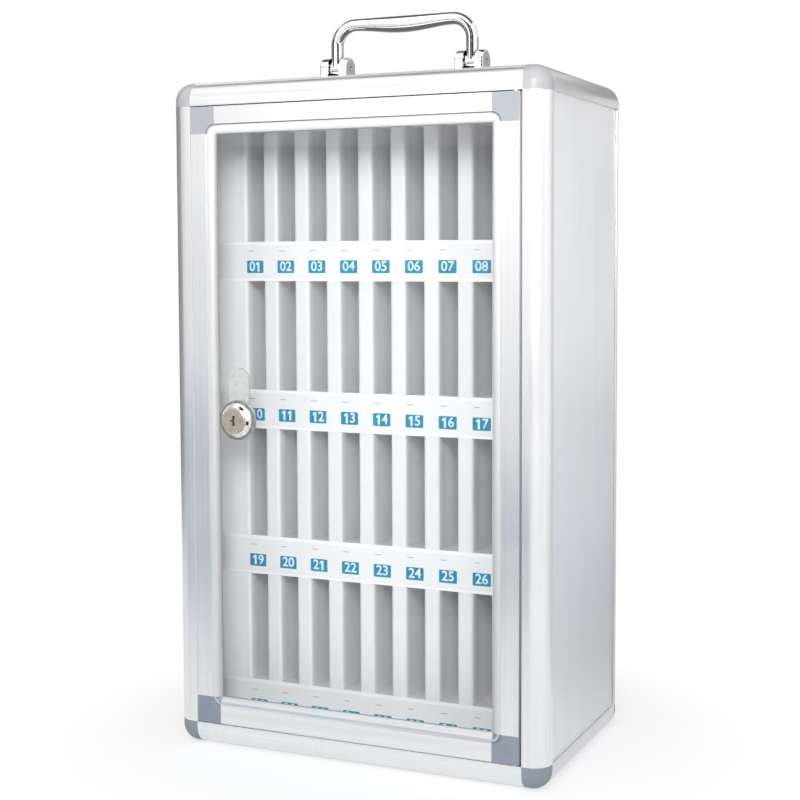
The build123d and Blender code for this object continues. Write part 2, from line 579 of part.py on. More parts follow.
def handle_foot():
    """Cast foot: two round-topped ears on a solid base, with a slot for the leg's eye."""
    ear_top = Plane((HANDLE_LEG_X - FOOT_WIDTH / 2, HANDLE_Y, 0), x_dir=(0, 1, 0), z_dir=(1, 0, 0))
    outline = rectangle(-FOOT_DEPTH / 2, FOOT_DEPTH / 2, PANEL_TOP, PIVOT_Z)
    outline += Pos(0, PIVOT_Z) * Circle(FOOT_DEPTH / 2)
    foot = extrude(ear_top * outline, FOOT_WIDTH)
    outer_faces = foot.faces().filter_by(Axis.X)
    rims = [edge for face in outer_faces for edge in face.edges() if edge.center().Z > PANEL_TOP + 1]
    foot = fillet(rims, FOOT_EDGE)
    slot_half = LEG_THICKNESS / 2 + FOOT_SLOT_CLEARANCE
    foot -= Pos(HANDLE_LEG_X, HANDLE_Y, PANEL_TOP + FOOT_FLOOR + FOOT_DEPTH) * Box(
        2 * slot_half, 2 * FOOT_DEPTH, 2 * FOOT_DEPTH)
    foot -= pin_place * Cylinder(PIVOT_PIN_RADIUS + PIVOT_PIN_CLEARANCE, 2 * FOOT_WIDTH)
    foot -= Pos(HANDLE_LEG_X, HANDLE_Y, PANEL_TOP + FOOT_BOLT_IN_FOOT / 2) * Cylinder(
        FOOT_BOLT_RADIUS + PRESS_CLEARANCE, FOOT_BOLT_IN_FOOT)
    return foot


save("handle_foot_right", handle_foot())
save("handle_foot_left", to_left(handle_foot()))

bolt_length = FOOT_BOLT_IN_FOOT + PANEL_THICKNESS
bolt = Pos(HANDLE_LEG_X, HANDLE_Y, PANEL_TOP + FOOT_BOLT_IN_FOOT - bolt_length / 2) * Cylinder(
    FOOT_BOLT_RADIUS, bolt_length)
bolt += Pos(HANDLE_LEG_X, HANDLE_Y, PANEL_TOP - PANEL_THICKNESS - FOOT_BOLT_HEAD / 2) * Cylinder(
    FOOT_BOLT_HEAD_RADIUS, FOOT_BOLT_HEAD)
save("handle_foot_bolts", bolt, to_left(bolt))
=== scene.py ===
import json
import math

import bpy
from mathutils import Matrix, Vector


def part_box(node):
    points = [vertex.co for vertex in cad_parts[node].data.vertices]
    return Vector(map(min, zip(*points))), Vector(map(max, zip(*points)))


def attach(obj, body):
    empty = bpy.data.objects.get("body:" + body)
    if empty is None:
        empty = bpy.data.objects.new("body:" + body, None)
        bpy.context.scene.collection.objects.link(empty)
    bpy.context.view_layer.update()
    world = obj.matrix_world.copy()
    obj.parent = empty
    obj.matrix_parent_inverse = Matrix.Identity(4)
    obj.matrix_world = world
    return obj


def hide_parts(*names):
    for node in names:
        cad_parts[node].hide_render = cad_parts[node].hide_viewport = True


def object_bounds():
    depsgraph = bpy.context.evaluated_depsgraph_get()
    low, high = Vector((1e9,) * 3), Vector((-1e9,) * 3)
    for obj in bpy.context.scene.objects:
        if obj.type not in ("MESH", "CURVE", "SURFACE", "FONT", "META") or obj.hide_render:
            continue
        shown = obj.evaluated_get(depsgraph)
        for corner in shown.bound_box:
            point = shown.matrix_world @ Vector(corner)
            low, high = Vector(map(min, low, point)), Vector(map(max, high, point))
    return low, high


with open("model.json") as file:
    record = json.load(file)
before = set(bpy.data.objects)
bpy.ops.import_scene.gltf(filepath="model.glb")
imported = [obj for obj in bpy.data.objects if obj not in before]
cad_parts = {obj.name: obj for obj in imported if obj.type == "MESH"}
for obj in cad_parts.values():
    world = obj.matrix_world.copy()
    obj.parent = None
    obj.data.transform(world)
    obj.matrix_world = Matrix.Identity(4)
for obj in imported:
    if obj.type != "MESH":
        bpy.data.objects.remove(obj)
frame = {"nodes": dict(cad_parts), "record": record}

cad_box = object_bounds()
nodes = frame["nodes"]
body_of = {name: body for body, names in frame["record"]["behaviour"]["bodies"].items()
           for name in names}
bpy.ops.object.select_all(action="DESELECT")

# ================================================================ frame bars
# Twelve lengths of one round-edged aluminium extrusion, sawn square, deburred and anodised
# matt silver.  Fine drawing marks run along every bar, and the sawn ends butt on the caps.


def only(piece):
    """Leaves one piece selected and active, in object mode."""
    if bpy.context.mode != "OBJECT":
        bpy.ops.object.mode_set(mode="OBJECT")
    bpy.ops.object.select_all(action="DESELECT")
    piece.select_set(True)
    bpy.context.view_layer.objects.active = piece


def apply_place():
    """Takes the active piece's place, turn and scale into its mesh."""
    bpy.ops.object.transform_apply(location=True, rotation=True, scale=True)


def edit_all():
    """In edit mode on the active piece, selects all of it."""
    bpy.ops.object.mode_set(mode="EDIT")
    bpy.ops.mesh.select_all(action="SELECT")


def pick(piece, kind, wanted):
    """In edit mode on this piece, selects the vertices, edges or faces whose middle is wanted."""
    only(piece)
    mesh = piece.data
    bpy.ops.object.mode_set(mode="EDIT")
    bpy.ops.mesh.select_mode(type=kind)
    bpy.ops.mesh.select_all(action="DESELECT")
    bpy.ops.object.mode_set(mode="OBJECT")
    points = [vertex.co for vertex in mesh.vertices]
    if kind == "VERT":
        for vertex in mesh.vertices:
            vertex.select = bool(wanted(vertex.co))
    elif kind == "EDGE":
        for edge in mesh.edges:
            edge.select = bool(wanted((points[edge.vertices[0]] + points[edge.vertices[1]]) / 2))
    else:
        for face in mesh.polygons:
            face.select = bool(wanted(face.center))
    bpy.ops.object.mode_set(mode="EDIT")


def finished(piece, smooth_angle=40):
    """Back to object mode, with its place in its mesh, flat faces flat and round ones smooth."""
    only(piece)
    apply_place()
    bpy.ops.object.shade_smooth_by_angle(angle=math.radians(smooth_angle))
    weigh = piece.modifiers.new("flat faces stay flat", "WEIGHTED_NORMAL")
    weigh.keep_sharp = True
    weigh.weight = 100
    bpy.ops.object.modifier_apply(modifier=weigh.name)


def facing_outwards(piece):
    """Turns every face of a closed piece outwards and leaves it in object mode."""
    only(piece)
    edit_all()
    bpy.ops.mesh.normals_make_consistent(inside=False)
    bpy.ops.object.mode_set(mode="OBJECT")


def ease_edges(piece, width, segments=2, angle=30):
    """Rounds every edge that is sharper than the angle, as deburring does."""
    only(piece)
    ease = piece.modifiers.new("eased edges", "BEVEL")
    ease.width = width
    ease.segments = segments
    ease.limit_method = "ANGLE"
    ease.angle_limit = math.radians(angle)
    ease.use_clamp_overlap = True
    bpy.ops.object.modifier_apply(modifier=ease.name)


def fit_out(piece, node, *materials):
    """The piece stands for a node: its finish, its body and its place in the record."""
    piece.data.materials.clear()
    for material in materials:
        piece.data.materials.append(material)
    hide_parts(node)
    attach(piece, body_of[node])


def deburred(node, name, ease, *materials, segments=2):
    """A node's own mesh with its loose triangles merged and its sharp edges eased."""
    piece = bpy.data.objects.new(name, nodes[node].data.copy())
    bpy.context.scene.collection.objects.link(piece)
    only(piece)
    bpy.ops.mesh.customdata_custom_splitnormals_clear()
    edit_all()
    bpy.ops.mesh.remove_doubles(threshold=0.000004)
    bpy.ops.mesh.dissolve_limited(angle_limit=math.radians(0.6))
    bpy.ops.object.mode_set(mode="OBJECT")
    ease_edges(piece, ease, segments)
    finished(piece)
    fit_out(piece, node, *materials)
    return piece


def second_finish(piece, material, wanted):
    """Gives the faces that are wanted, by middle and normal, a material of their own."""
    piece.data.materials.append(material)
    for face in piece.data.polygons:
        if wanted(face.center, face.normal):
            face.material_index = len(piece.data.materials) - 1


def shader(tree, kind, place, sockets=None, **settings):
    """Adds a shader node; a socket is given either a constant or the output that feeds it."""
    made = tree.nodes.new(kind)
    made.location = place
    for setting, value in settings.items():
        setattr(made, setting, value)
    for socket, value in (sockets or {}).items():
        if isinstance(value, bpy.types.NodeSocket):
            tree.links.new(value, made.inputs[socket])
        else:
            made.inputs[socket].default_value = value
    return made


def effect(name, takes, gives=("Color", "Roughness", "Height")):
    """An empty shader node group with named sockets, and what its two ends offer."""
    group = bpy.data.node_groups.new(name, "ShaderNodeTree")
    for label, value in takes.items():
        kind = {tuple: "Color", float: "Float"}.get(type(value), "Vector")
        socket = group.interface.new_socket(label, in_out="INPUT", socket_type="NodeSocket" + kind)
        if value is not None:
            socket.default_value = value
    for label in gives:
        kind = "Color" if label == "Color" else "Float"
        group.interface.new_socket(label, in_out="OUTPUT", socket_type="NodeSocket" + kind)
    begin = group.nodes.new("NodeGroupInput")
    begin.location = (-900, 0)
    end = group.nodes.new("NodeGroupOutput")
    end.location = (900, 0)
    return group, begin.outputs, end.inputs


def use(tree, group, place, sockets):
    """Places a node group in a tree and returns what it puts out."""
    return shader(tree, "ShaderNodeGroup", place, sockets, node_tree=group).outputs


def feed(tree, source, target):
    tree.links.new(source, target)


def maths(tree, place, operation, *terms, **settings):
    """A value worked out from terms that are each a constant or an output."""
    return shader(tree, "ShaderNodeMath", place, dict(enumerate(terms)), operation=operation,
                  **settings).outputs["Value"]


def remapped(tree, place, value, low, high, to_low=0.0, to_high=1.0, **settings):
    """A value carried from one range into another, and held within it."""
    return shader(tree, "ShaderNodeMapRange", place, {
        "Value": value, "From Min": low, "From Max": high, "To Min": to_low, "To Max": to_high},
        **settings).outputs["Result"]


def noise(tree, place, at, scale, detail, roughness=0.5, distortion=0.0):
    """Cloudy noise round a half."""
    return shader(tree, "ShaderNodeTexNoise", place, {
        "Vector": at, "Scale": scale, "Detail": detail, "Roughness": roughness,
        "Distortion": distortion}).outputs["Fac"]


def blended(tree, place, share, first, second):
    """Goes from the first colour to the second by the share."""
    return shader(tree, "ShaderNodeMix", place, {0: share, 6: first, 7: second},
                  data_type="RGBA").outputs[2]


def blank_material(name):
    """A new material with only its surface and output, and where a point lies on the object."""
    material = bpy.data.materials.new(name)
    material.use_nodes = True
    tree = material.node_tree
    tree.nodes.clear()
    surface = shader(tree, "ShaderNodeBsdfPrincipled", (500, 0))
    out = shader(tree, "ShaderNodeOutputMaterial", (800, 0))
    feed(tree, surface.outputs["BSDF"], out.inputs["Surface"])
    where = shader(tree, "ShaderNodeTexCoord", (-1200, 0))
    return material, tree, surface, where.outputs["Object"]


def dress(tree, surface, coat, strength, depth, color=None):
    """Gives a surface an effect's colour, roughness and relief."""
    relief = shader(tree, "ShaderNodeBump", (0, -250),
                    {"Height": coat["Height"], "Strength": strength, "Distance": depth})
    feed(tree, color or coat["Color"], surface.inputs["Base Color"])
    feed(tree, coat["Roughness"], surface.inputs["Roughness"])
    feed(tree, relief.outputs["Normal"], surface.inputs["Normal"])


# Edges polished by handling: where a rounded normal departs from the true one.
edge_wear, takes, gives = effect("edge wear", {
    "Radius": 0.0006, "Breakup Scale": 140.0}, ("Mask",))
rounded = shader(edge_wear, "ShaderNodeBevel", (-650, 150), {"Radius": takes["Radius"]}, samples=4)
true = shader(edge_wear, "ShaderNodeNewGeometry", (-650, -50))
agree = shader(edge_wear, "ShaderNodeVectorMath", (-420, 80),
               {0: rounded.outputs["Normal"], 1: true.outputs["Normal"]}, operation="DOT_PRODUCT")
worn = remapped(edge_wear, (-200, 80), agree.outputs["Value"], 0.995, 0.85)
spot = shader(edge_wear, "ShaderNodeTexCoord", (-900, -300))
patchy = noise(edge_wear, (-420, -220), spot.outputs["Object"], takes["Breakup Scale"], 3.0)
some = remapped(edge_wear, (-200, -220), patchy, 0.3, 0.65, 0.35)
shown = maths(edge_wear, (100, 0), "MULTIPLY", worn, some)
feed(edge_wear, shown, gives["Mask"])

# Drawing marks: broad and hair-fine streaks along one direction, over faint hand smears.
drawn_marks, takes, gives = effect("drawn marks", {
    "Vector": None, "Spot": None, "Bright": (0.8, 0.8, 0.8, 1), "Dark": (0.7, 0.7, 0.7, 1),
    "Worn": (0.9, 0.9, 0.9, 1), "Roughness": 0.36, "Edge Radius": 0.0006})
broad = noise(drawn_marks, (-650, 250), takes["Vector"], 1.0, 4.0, 0.6)
fine = noise(drawn_marks, (-650, 0), takes["Vector"], 9.0, 6.0, 0.7)
smear = noise(drawn_marks, (-650, -250), takes["Spot"], 11.0, 5.0, 0.55, 0.4)
streak = maths(drawn_marks, (-420, 130), "MULTIPLY", broad, 0.6)
streaks = maths(drawn_marks, (-250, 60), "MULTIPLY_ADD", fine, 0.4, streak)
contrast = remapped(drawn_marks, (-80, 130), streaks, 0.36, 0.64)
metal = blended(drawn_marks, (120, 130), contrast, takes["Dark"], takes["Bright"])
edge = use(drawn_marks, edge_wear, (120, -120), {"Radius": takes["Edge Radius"]})
feed(drawn_marks, blended(drawn_marks, (380, 130), edge["Mask"], metal, takes["Worn"]),
     gives["Color"])
hazy = remapped(drawn_marks, (-80, -250), smear, 0.35, 0.7, -0.03, 0.07)
lined = maths(drawn_marks, (120, -300), "MULTIPLY_ADD", streaks, -0.08, hazy)
rough = maths(drawn_marks, (380, -250), "ADD", lined, takes["Roughness"])
feed(drawn_marks, rough, gives["Roughness"])
feed(drawn_marks, streaks, gives["Height"])


def graded(tree, color, at, axis, stops):
    """The colour, darkened by (place, share) stops along an axis or outward from a point, as
    painted shade.
    """
    if isinstance(axis, str):
        place = shader(tree, "ShaderNodeSeparateXYZ", (-900, 400), {"Vector": at}).outputs[axis]
    else:
        level = shader(tree, "ShaderNodeVectorMath", (-1100, 400), {0: at, 1: (1, 0, 1)},
                       operation="MULTIPLY")
        place = shader(tree, "ShaderNodeVectorMath", (-900, 400),
                       {0: level.outputs["Vector"], 1: (axis[0], 0, axis[2])},
                       operation="DISTANCE").outputs["Value"]
    first, last = stops[0][0], stops[-1][0]
    along = remapped(tree, (-700, 400), place, first, last)
    share = shader(tree, "ShaderNodeValToRGB", (-450, 400), {"Fac": along})
    for stop in stops[1:-1]:
        share.color_ramp.elements.new((stop[0] - first) / (last - first))
    for element, stop in zip(share.color_ramp.elements, stops):
        element.color = (stop[1], stop[1], stop[1], 1)
    return shader(tree, "ShaderNodeMix", (200, 250),
                  {0: 1.0, 6: color, 7: share.outputs["Color"]},
                  data_type="RGBA", blend_type="MULTIPLY").outputs[2]


def anodised(name, stretch, bright, dark, roughness, depth=0.00002, edge_radius=0.0006,
             metallic=0.85, axis="Z", stops=((0, 1), (1, 1))):
    """Satin aluminium whose marks run the way that the stretch is smallest, darkened by the stops
    as painted shade.
    """
    material, tree, surface, at = blank_material(name)
    along = shader(tree, "ShaderNodeMapping", (-900, 100), {"Vector": at, "Scale": stretch})
    marks = use(tree, drawn_marks, (-500, 100), {
        "Vector": along.outputs["Vector"], "Spot": at, "Bright": bright, "Dark": dark,
        "Worn": (0.93, 0.94, 0.95, 1), "Roughness": roughness, "Edge Radius": edge_radius})
    dress(tree, surface, marks, 0.45, depth, graded(tree, marks["Color"], at, axis, stops))
    surface.inputs["Metallic"].default_value = metallic
    return material


ACROSS, ALONG = 170.0, 1.6
BAR_EASE = 0.0003
FLANK_DEPTH = 0.012
silver_bright, silver_dark = (0.825, 0.828, 0.83, 1), (0.725, 0.728, 0.74, 1)
# The side rails and the rear posts take darker copies of the same anodised finish, the lower side
# rails a bluish one: painted shade.
frame_finish = {
    "upright": anodised("frame anodised upright", (ACROSS, ACROSS, ALONG),
                        silver_bright, silver_dark, 0.34),
    "sideways": anodised("frame anodised sideways", (ALONG, ACROSS, ACROSS),
                         silver_bright, silver_dark, 0.34),
    "upper side, painted shade": anodised("frame anodised upper side painted shade", (ACROSS, ALONG, ACROSS),
                                (0.70, 0.70, 0.695, 1), (0.62, 0.62, 0.62, 1), 0.36),
    "lower side, bluish painted shade": anodised("frame anodised lower side bluish painted shade", (ACROSS, ALONG, ACROSS),
                                (0.68, 0.695, 0.72, 1), (0.61, 0.62, 0.65, 1), 0.36),
    "upright rear, painted shade": anodised("frame anodised rear painted shade", (ACROSS, ACROSS, ALONG),
                              (0.66, 0.663, 0.665, 1), (0.59, 0.593, 0.60, 1), 0.42)}
for end in ("front", "rear"):
    for side in ("left", "right"):
        deburred(f"post_{end}_{side}", f"frame_post_{end}_{side}", BAR_EASE,
                 frame_finish["upright" if end == "front" else "upright rear, painted shade"])
    for level in ("top", "bottom"):
        deburred(f"rail_{end}_{level}", f"frame_rail_{end}_{level}", BAR_EASE,
                 frame_finish["sideways"])

# The flanks facing the door across its gaps are painted near white, as painted light in the gaps,
# greying downwards as painted shade except on the left post; the top edge is painted paler too.
gap_painted_light = anodised("gap flank painted light", (90.0, 90.0, 40.0), (0.96, 0.96, 0.96, 1),
                      (0.90, 0.90, 0.90, 1), 0.62, metallic=0.1, stops=(
                          (0.02, 0.55), (0.15, 0.66), (0.35, 0.84), (0.5, 1.0), (0.58, 1.0)))
even_gap_painted_light = anodised("gap flank painted light pale", (90.0, 90.0, 40.0), (0.96, 0.96, 0.96, 1),
                      (0.90, 0.90, 0.90, 1), 0.62, metallic=0.1)
door_middle = sum(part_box("door_pane"), Vector()) / 2
front_face = cad_box[0].y
for name in ("post_front_left", "post_front_right", "rail_front_top", "rail_front_bottom"):
    skin = even_gap_painted_light if name == "post_front_left" else gap_painted_light
    second_finish(bpy.data.objects["frame_" + name], skin, lambda at, normal: (
        normal.dot(door_middle - at) > 0 and abs(normal.y) < 0.2
        and at.y < front_face + FLANK_DEPTH))
# The top edge is painted paler and greys towards the right: painted light and painted shade.
top_edge_painted_light = anodised("top edge painted light", (ALONG, ACROSS, ACROSS), (0.88, 0.878, 0.865, 1),
                    (0.80, 0.798, 0.785, 1), 0.5, metallic=0.3, axis="X", stops=(
                        (-0.15, 1.0), (-0.03, 0.86), (0.03, 0.76), (0.15, 0.76)))
second_finish(bpy.data.objects["frame_rail_front_top"], top_edge_painted_light,
              lambda at, normal: normal.z > 0.82)
for side in ("left", "right"):
    for level in ("top", "bottom"):
        deburred(f"rail_{side}_{level}", f"frame_rail_{side}_{level}", BAR_EASE,
                 frame_finish["lower side, bluish painted shade" if level == "bottom" else "upper side, painted shade"])

# ================================================================ corner caps
# Ball-rounded corner mouldings in grey plastic that plug into the three bars at each corner.
# The upper four are a paler grey than the lower four, all with a fine moulded skin.

# Moulded skin: a slight orange peel over fine spark-eroded grain, rubbed paler on its edges.
moulded_skin, takes, gives = effect("moulded skin", {
    "Vector": None, "Tone": (0.5, 0.5, 0.5, 1), "Pale": (0.6, 0.6, 0.6, 1), "Roughness": 0.4,
    "Grain Scale": 2600.0})
cloud = noise(moulded_skin, (-650, 250), takes["Vector"], 38.0, 5.0, 0.6)
peel = noise(moulded_skin, (-650, 0), takes["Vector"], 420.0, 2.0)
grain = noise(moulded_skin, (-650, -250), takes["Vector"], takes["Grain Scale"], 2.0)
dull = remapped(moulded_skin, (-400, 250), cloud, 0.3, 0.7, 0.0, 0.35)
edge = use(moulded_skin, edge_wear, (-400, 80), {"Radius": 0.0009, "Breakup Scale": 300.0})
paler = maths(moulded_skin, (-150, 180), "MAXIMUM", edge["Mask"], dull)
feed(moulded_skin, blended(moulded_skin, (120, 180), paler, takes["Tone"],
                           takes["Pale"]), gives["Color"])
matt = maths(moulded_skin, (120, -50), "MULTIPLY_ADD", cloud, 0.14, takes["Roughness"])
feed(moulded_skin, matt, gives["Roughness"])
skin = maths(moulded_skin, (120, -250), "MULTIPLY_ADD", grain, 0.35, peel)
feed(moulded_skin, skin, gives["Height"])


def moulded(name, tone, pale, roughness):
    """Injection-moulded plastic or rubber."""
    material, tree, surface, at = blank_material(name)
    dress(tree, surface, use(tree, moulded_skin, (-500, 100), {
        "Vector": at, "Tone": tone, "Pale": pale, "Roughness": roughness}), 0.5, 0.00003)
    surface.inputs["IOR"].default_value = 1.49
    return material


cap_finish = {
    "top": moulded("cap pale grey", (0.39, 0.392, 0.408, 1), (0.49, 0.492, 0.51, 1), 0.26),
    "bottom": moulded("cap slate grey", (0.195, 0.23, 0.275, 1), (0.265, 0.30, 0.345, 1), 0.36)}
for end in ("front", "rear"):
    for side in ("left", "right"):
        for level in ("top", "bottom"):
            deburred(f"corner_cap_{end}_{side}_{level}", f"cap_{end}_{side}_{level}", 0.0004,
                     cap_finish[level], segments=3)

# ================================================================ sheet panels
# The sides are thin aluminium sheet rolled with shallow upright flutes; the top, bottom and
# back are the same sheet left plain.  All are trapped behind the frame's edges.
FLUTES = 18
FLUTE_DEPTH = 0.00007


def graded_again(material, axis, stops):
    """Darkens a material along one more axis, as painted shade."""
    tree = material.node_tree
    color = tree.nodes["Principled BSDF"].inputs["Base Color"]
    feed(tree, graded(tree, color.links[0].from_socket,
                      tree.nodes["Texture Coordinate"].outputs["Object"], axis, stops), color)


panel_bright, panel_dark = (0.91, 0.913, 0.92, 1), (0.85, 0.855, 0.87, 1)
# The upright sheets are painted darker towards the bottom and towards the rear: painted shade.
panel_upright = anodised("sheet aluminium upright", (240.0, 240.0, 1.1),
                         panel_bright, panel_dark, 0.42,
                         stops=((0.05, 0.83), (0.11, 0.88), (0.21, 0.99), (0.4, 1.0),
                                (0.55, 0.98)))
graded_again(panel_upright, "Y", ((-0.09, 1.0), (0.09, 0.86)))
panel_sideways = anodised("sheet aluminium sideways", (1.1, 240.0, 240.0),
                          panel_bright, panel_dark, 0.42, depth=0.00003)

low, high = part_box("side_panel_right")
middle, width = (low + high) / 2, high.y - low.y
bpy.ops.mesh.primitive_grid_add(x_subdivisions=4 * FLUTES, y_subdivisions=1, size=1)
fluted = bpy.context.active_object
fluted.name = "fluted_panel_right"
fluted.scale = (width, high.z - low.z, 1)
apply_place()
pick(fluted, "VERT", lambda at: round((at.x / width + 0.5) * 4 * FLUTES) % 4 == 3)
bpy.ops.transform.translate(value=(0, 0, -FLUTE_DEPTH))
only(fluted)
fluted.rotation_euler = (math.radians(90), 0, math.radians(90))
fluted.location = (high.x, middle.y, middle.z)
apply_place()
sheet = fluted.modifiers.new("sheet", "SOLIDIFY")
sheet.thickness = high.x - low.x
sheet.offset = -1
bpy.ops.object.modifier_apply(modifier=sheet.name)
bpy.ops.object.duplicate()
fluted_left = bpy.context.active_object
fluted_left.name = "fluted_panel_left"
fluted_left.scale.x = -1
apply_place()
facing_outwards(fluted_left)
for panel, node in ((fluted, "side_panel_right"), (fluted_left, "side_panel_left")):
    finished(panel, smooth_angle=30)
    fit_out(panel, node, panel_upright)
for node, name, finish in (("top_panel", "sheet_top", panel_sideways),
                           ("bottom_panel", "sheet_bottom", panel_sideways),
                           ("back_panel", "sheet_back", panel_upright)):
    deburred(node, name, 0.0002, finish)

# ================================================================ rack of phone slots
# Folded steel sheet in four tiers: a channel-shaped shelf under each row, and folded uprights
# between the slots.  Everything is powder coated white.

powder_coat, takes, gives = effect("powder coat", {
    "Vector": None, "White": (0.85, 0.85, 0.86, 1), "Shade": (0.8, 0.8, 0.82, 1),
    "Roughness": 0.45})
uneven = noise(powder_coat, (-650, 250), takes["Vector"], 17.0, 6.0, 0.6)
orange = noise(powder_coat, (-650, 0), takes["Vector"], 900.0, 3.0, 0.55)
specks = shader(powder_coat, "ShaderNodeTexVoronoi", (-650, -250),
                {"Vector": takes["Vector"], "Scale": 260.0})
dust = remapped(powder_coat, (-400, -250), specks.outputs["Distance"], 0.05, 0.0, 0.0, 0.5)
tone = remapped(powder_coat, (-400, 250), uneven, 0.35, 0.7)
mark = maths(powder_coat, (-150, 100), "ADD", tone, dust, use_clamp=True)
feed(powder_coat, blended(powder_coat, (120, 180), mark, takes["White"],
                          takes["Shade"]), gives["Color"])
sheen = maths(powder_coat, (120, -50), "MULTIPLY_ADD", uneven, 0.15, takes["Roughness"])
feed(powder_coat, sheen, gives["Roughness"])
feed(powder_coat, orange, gives["Height"])


def powder_coated(name, white, shade, axis, stops, roughness=0.38):
    """White paint greyed along one axis by the (place, share) stops, as painted shade."""
    material, tree, surface, at = blank_material(name)
    coating = use(tree, powder_coat, (-500, 100),
                  {"Vector": at, "White": white, "Shade": shade, "Roughness": roughness})
    dress(tree, surface, coating, 0.35, 0.00004, graded(tree, coating["Color"], at, axis, stops))
    return material


rack_front, rack_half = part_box("rack_columns_1")[0].y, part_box("rack_columns_1")[1].x
pure, less = (0.93, 0.925, 0.92, 1), (0.89, 0.885, 0.885, 1)
# Towards the left end the rack's white is painted greyer: painted shade behind the door's left
# stile.
painted_shade_toward_left = ((-rack_half, 0.68), (0.006 - rack_half, 0.76), (0.0135 - rack_half, 0.91),
               (0.022 - rack_half, 0.97), (0.05 - rack_half, 1.0))
rack_white = powder_coated("rack powder white", pure, less, "X", painted_shade_toward_left)
# The uprights take a greyer copy of the same white: painted shade.
uprights_painted_shade = powder_coated("upright powder white", pure, less, "X",
                              ((-rack_half, 0.86), (rack_half, 0.86)))
# The slots' side walls are painted greyer a little behind the front and whiter deeper in, evening
# out the light that falls off inside: painted shade and painted light.
slot_side_painted_shading = powder_coated("slot side painted shading", (0.93, 0.925, 0.932, 1),
                             (0.89, 0.885, 0.893, 1), "Y", (
                                 (rack_front + 0.002, 0.95), (rack_front + 0.006, 0.86),
                                 (rack_front + 0.0115, 0.76), (rack_front + 0.02, 0.92),
                                 (rack_front + 0.03, 1.0)))
# The left end upright's front is painted greyer towards the left: painted shade.
end_upright_painted_shade = powder_coated("end upright painted shade", (0.93, 0.92, 0.94, 1),
                          (0.89, 0.88, 0.90, 1), "X", (
                              (-rack_half, 0.79), (0.006 - rack_half, 0.83),
                              (0.009 - rack_half, 0.90)))
# The shelf tops inside the slots are painted mid grey: painted shade under the row above.
slot_floor_painted_shade = powder_coated("slot floor painted shade", (0.60, 0.595, 0.602, 1),
                            (0.54, 0.535, 0.543, 1), "X", ((-rack_half, 0.95), (rack_half, 1.0)))
FOLD_EASE, SHEET_EASE = 0.00035, 0.0002
LIP_DEPTH, NOSE_DEPTH = 0.002, 0.0028
END_UPRIGHT = 0.0095
for tier in range(1, 5):
    shelf = deburred(f"rack_shelf_{tier}", f"rack_shelf_fold_{tier}", FOLD_EASE, rack_white)
    second_finish(shelf, slot_floor_painted_shade, lambda at, normal: (
        normal.z > 0.7 and at.y > rack_front + LIP_DEPTH))
    uprights = deburred(f"rack_columns_{tier}", f"rack_uprights_{tier}", SHEET_EASE,
                        uprights_painted_shade)
    second_finish(uprights, slot_side_painted_shading, lambda at, normal: (
        at.y > rack_front + NOSE_DEPTH and abs(normal.x) > 0.7))
    second_finish(uprights, end_upright_painted_shade, lambda at, normal: (
        at.x < END_UPRIGHT - rack_half and at.y < rack_front + 0.001))
deburred("rack_header", "rack_header_fold", FOLD_EASE, rack_white)
deburred("rack_back", "rack_back_sheet", SHEET_EASE, slot_side_painted_shading)

# ================================================================ label cards
# A white plastic card is stuck along the front of each shelf.  It carries the row's labels.
CARD_THICKNESS = 0.0003
CARD_BELOW_FLOOR = 0.0031
CARD_ABOVE_SLOTS = 0.0026
CARD_SHORT = 0.003

# The cards take the same painted shade towards the left end.
card_white = powder_coated("card white", (0.84, 0.835, 0.83, 1), (0.81, 0.805, 0.805, 1), "X",
                           painted_shade_toward_left, roughness=0.3)

for tier in range(1, 5):
    low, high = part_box(f"rack_shelf_{tier}")
    bpy.ops.mesh.primitive_cube_add(size=1)
    card = bpy.context.active_object
    card.name = f"label_card_{tier}"
    card.scale = (high.x - low.x - CARD_SHORT, CARD_THICKNESS,
                  high.z - low.z - CARD_BELOW_FLOOR - CARD_ABOVE_SLOTS)
    card.location = ((low.x + high.x) / 2, low.y - CARD_THICKNESS / 2,
                     (low.z + high.z + CARD_ABOVE_SLOTS - CARD_BELOW_FLOOR) / 2)
    apply_place()
    end = 0.999 * (high.x - low.x - CARD_SHORT) / 2
    pick(card, "EDGE", lambda at: (
        abs(at.x) > end and abs(at.y - low.y + CARD_THICKNESS / 2) < 1e-5))
    bpy.ops.mesh.bevel(offset=0.0015, segments=4)
    ease_edges(card, 0.00008, segments=1)
    finished(card)
    card.data.materials.append(card_white)
    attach(card, "cabinet")

# ================================================================ slot numbers
# Under each slot is a blue label with the slot's number in white, and a short grey rule above
# it.  They are glossy printed film, counted 01 to 36 from the top left.
SLOTS_IN_ROW = 9
SLOT_PITCH = 0.0321
LABEL_WIDTH, LABEL_HEIGHT = 0.0172, 0.0115
LABEL_BELOW_FLOOR = 0.0174
FILM = 0.00012
DIGIT_SIZE, DIGIT_HEIGHT, DIGIT_PITCH = 0.0124, 0.0088, 0.0062
STEM_WIDTH = 0.0020
RULE_WIDTH, RULE_HEIGHT = 0.0062, 0.0005
RULE_SIDEWAYS, RULE_BELOW_FLOOR = -0.0042, 0.0086
LAST_ROW_LOWER = 0.0014

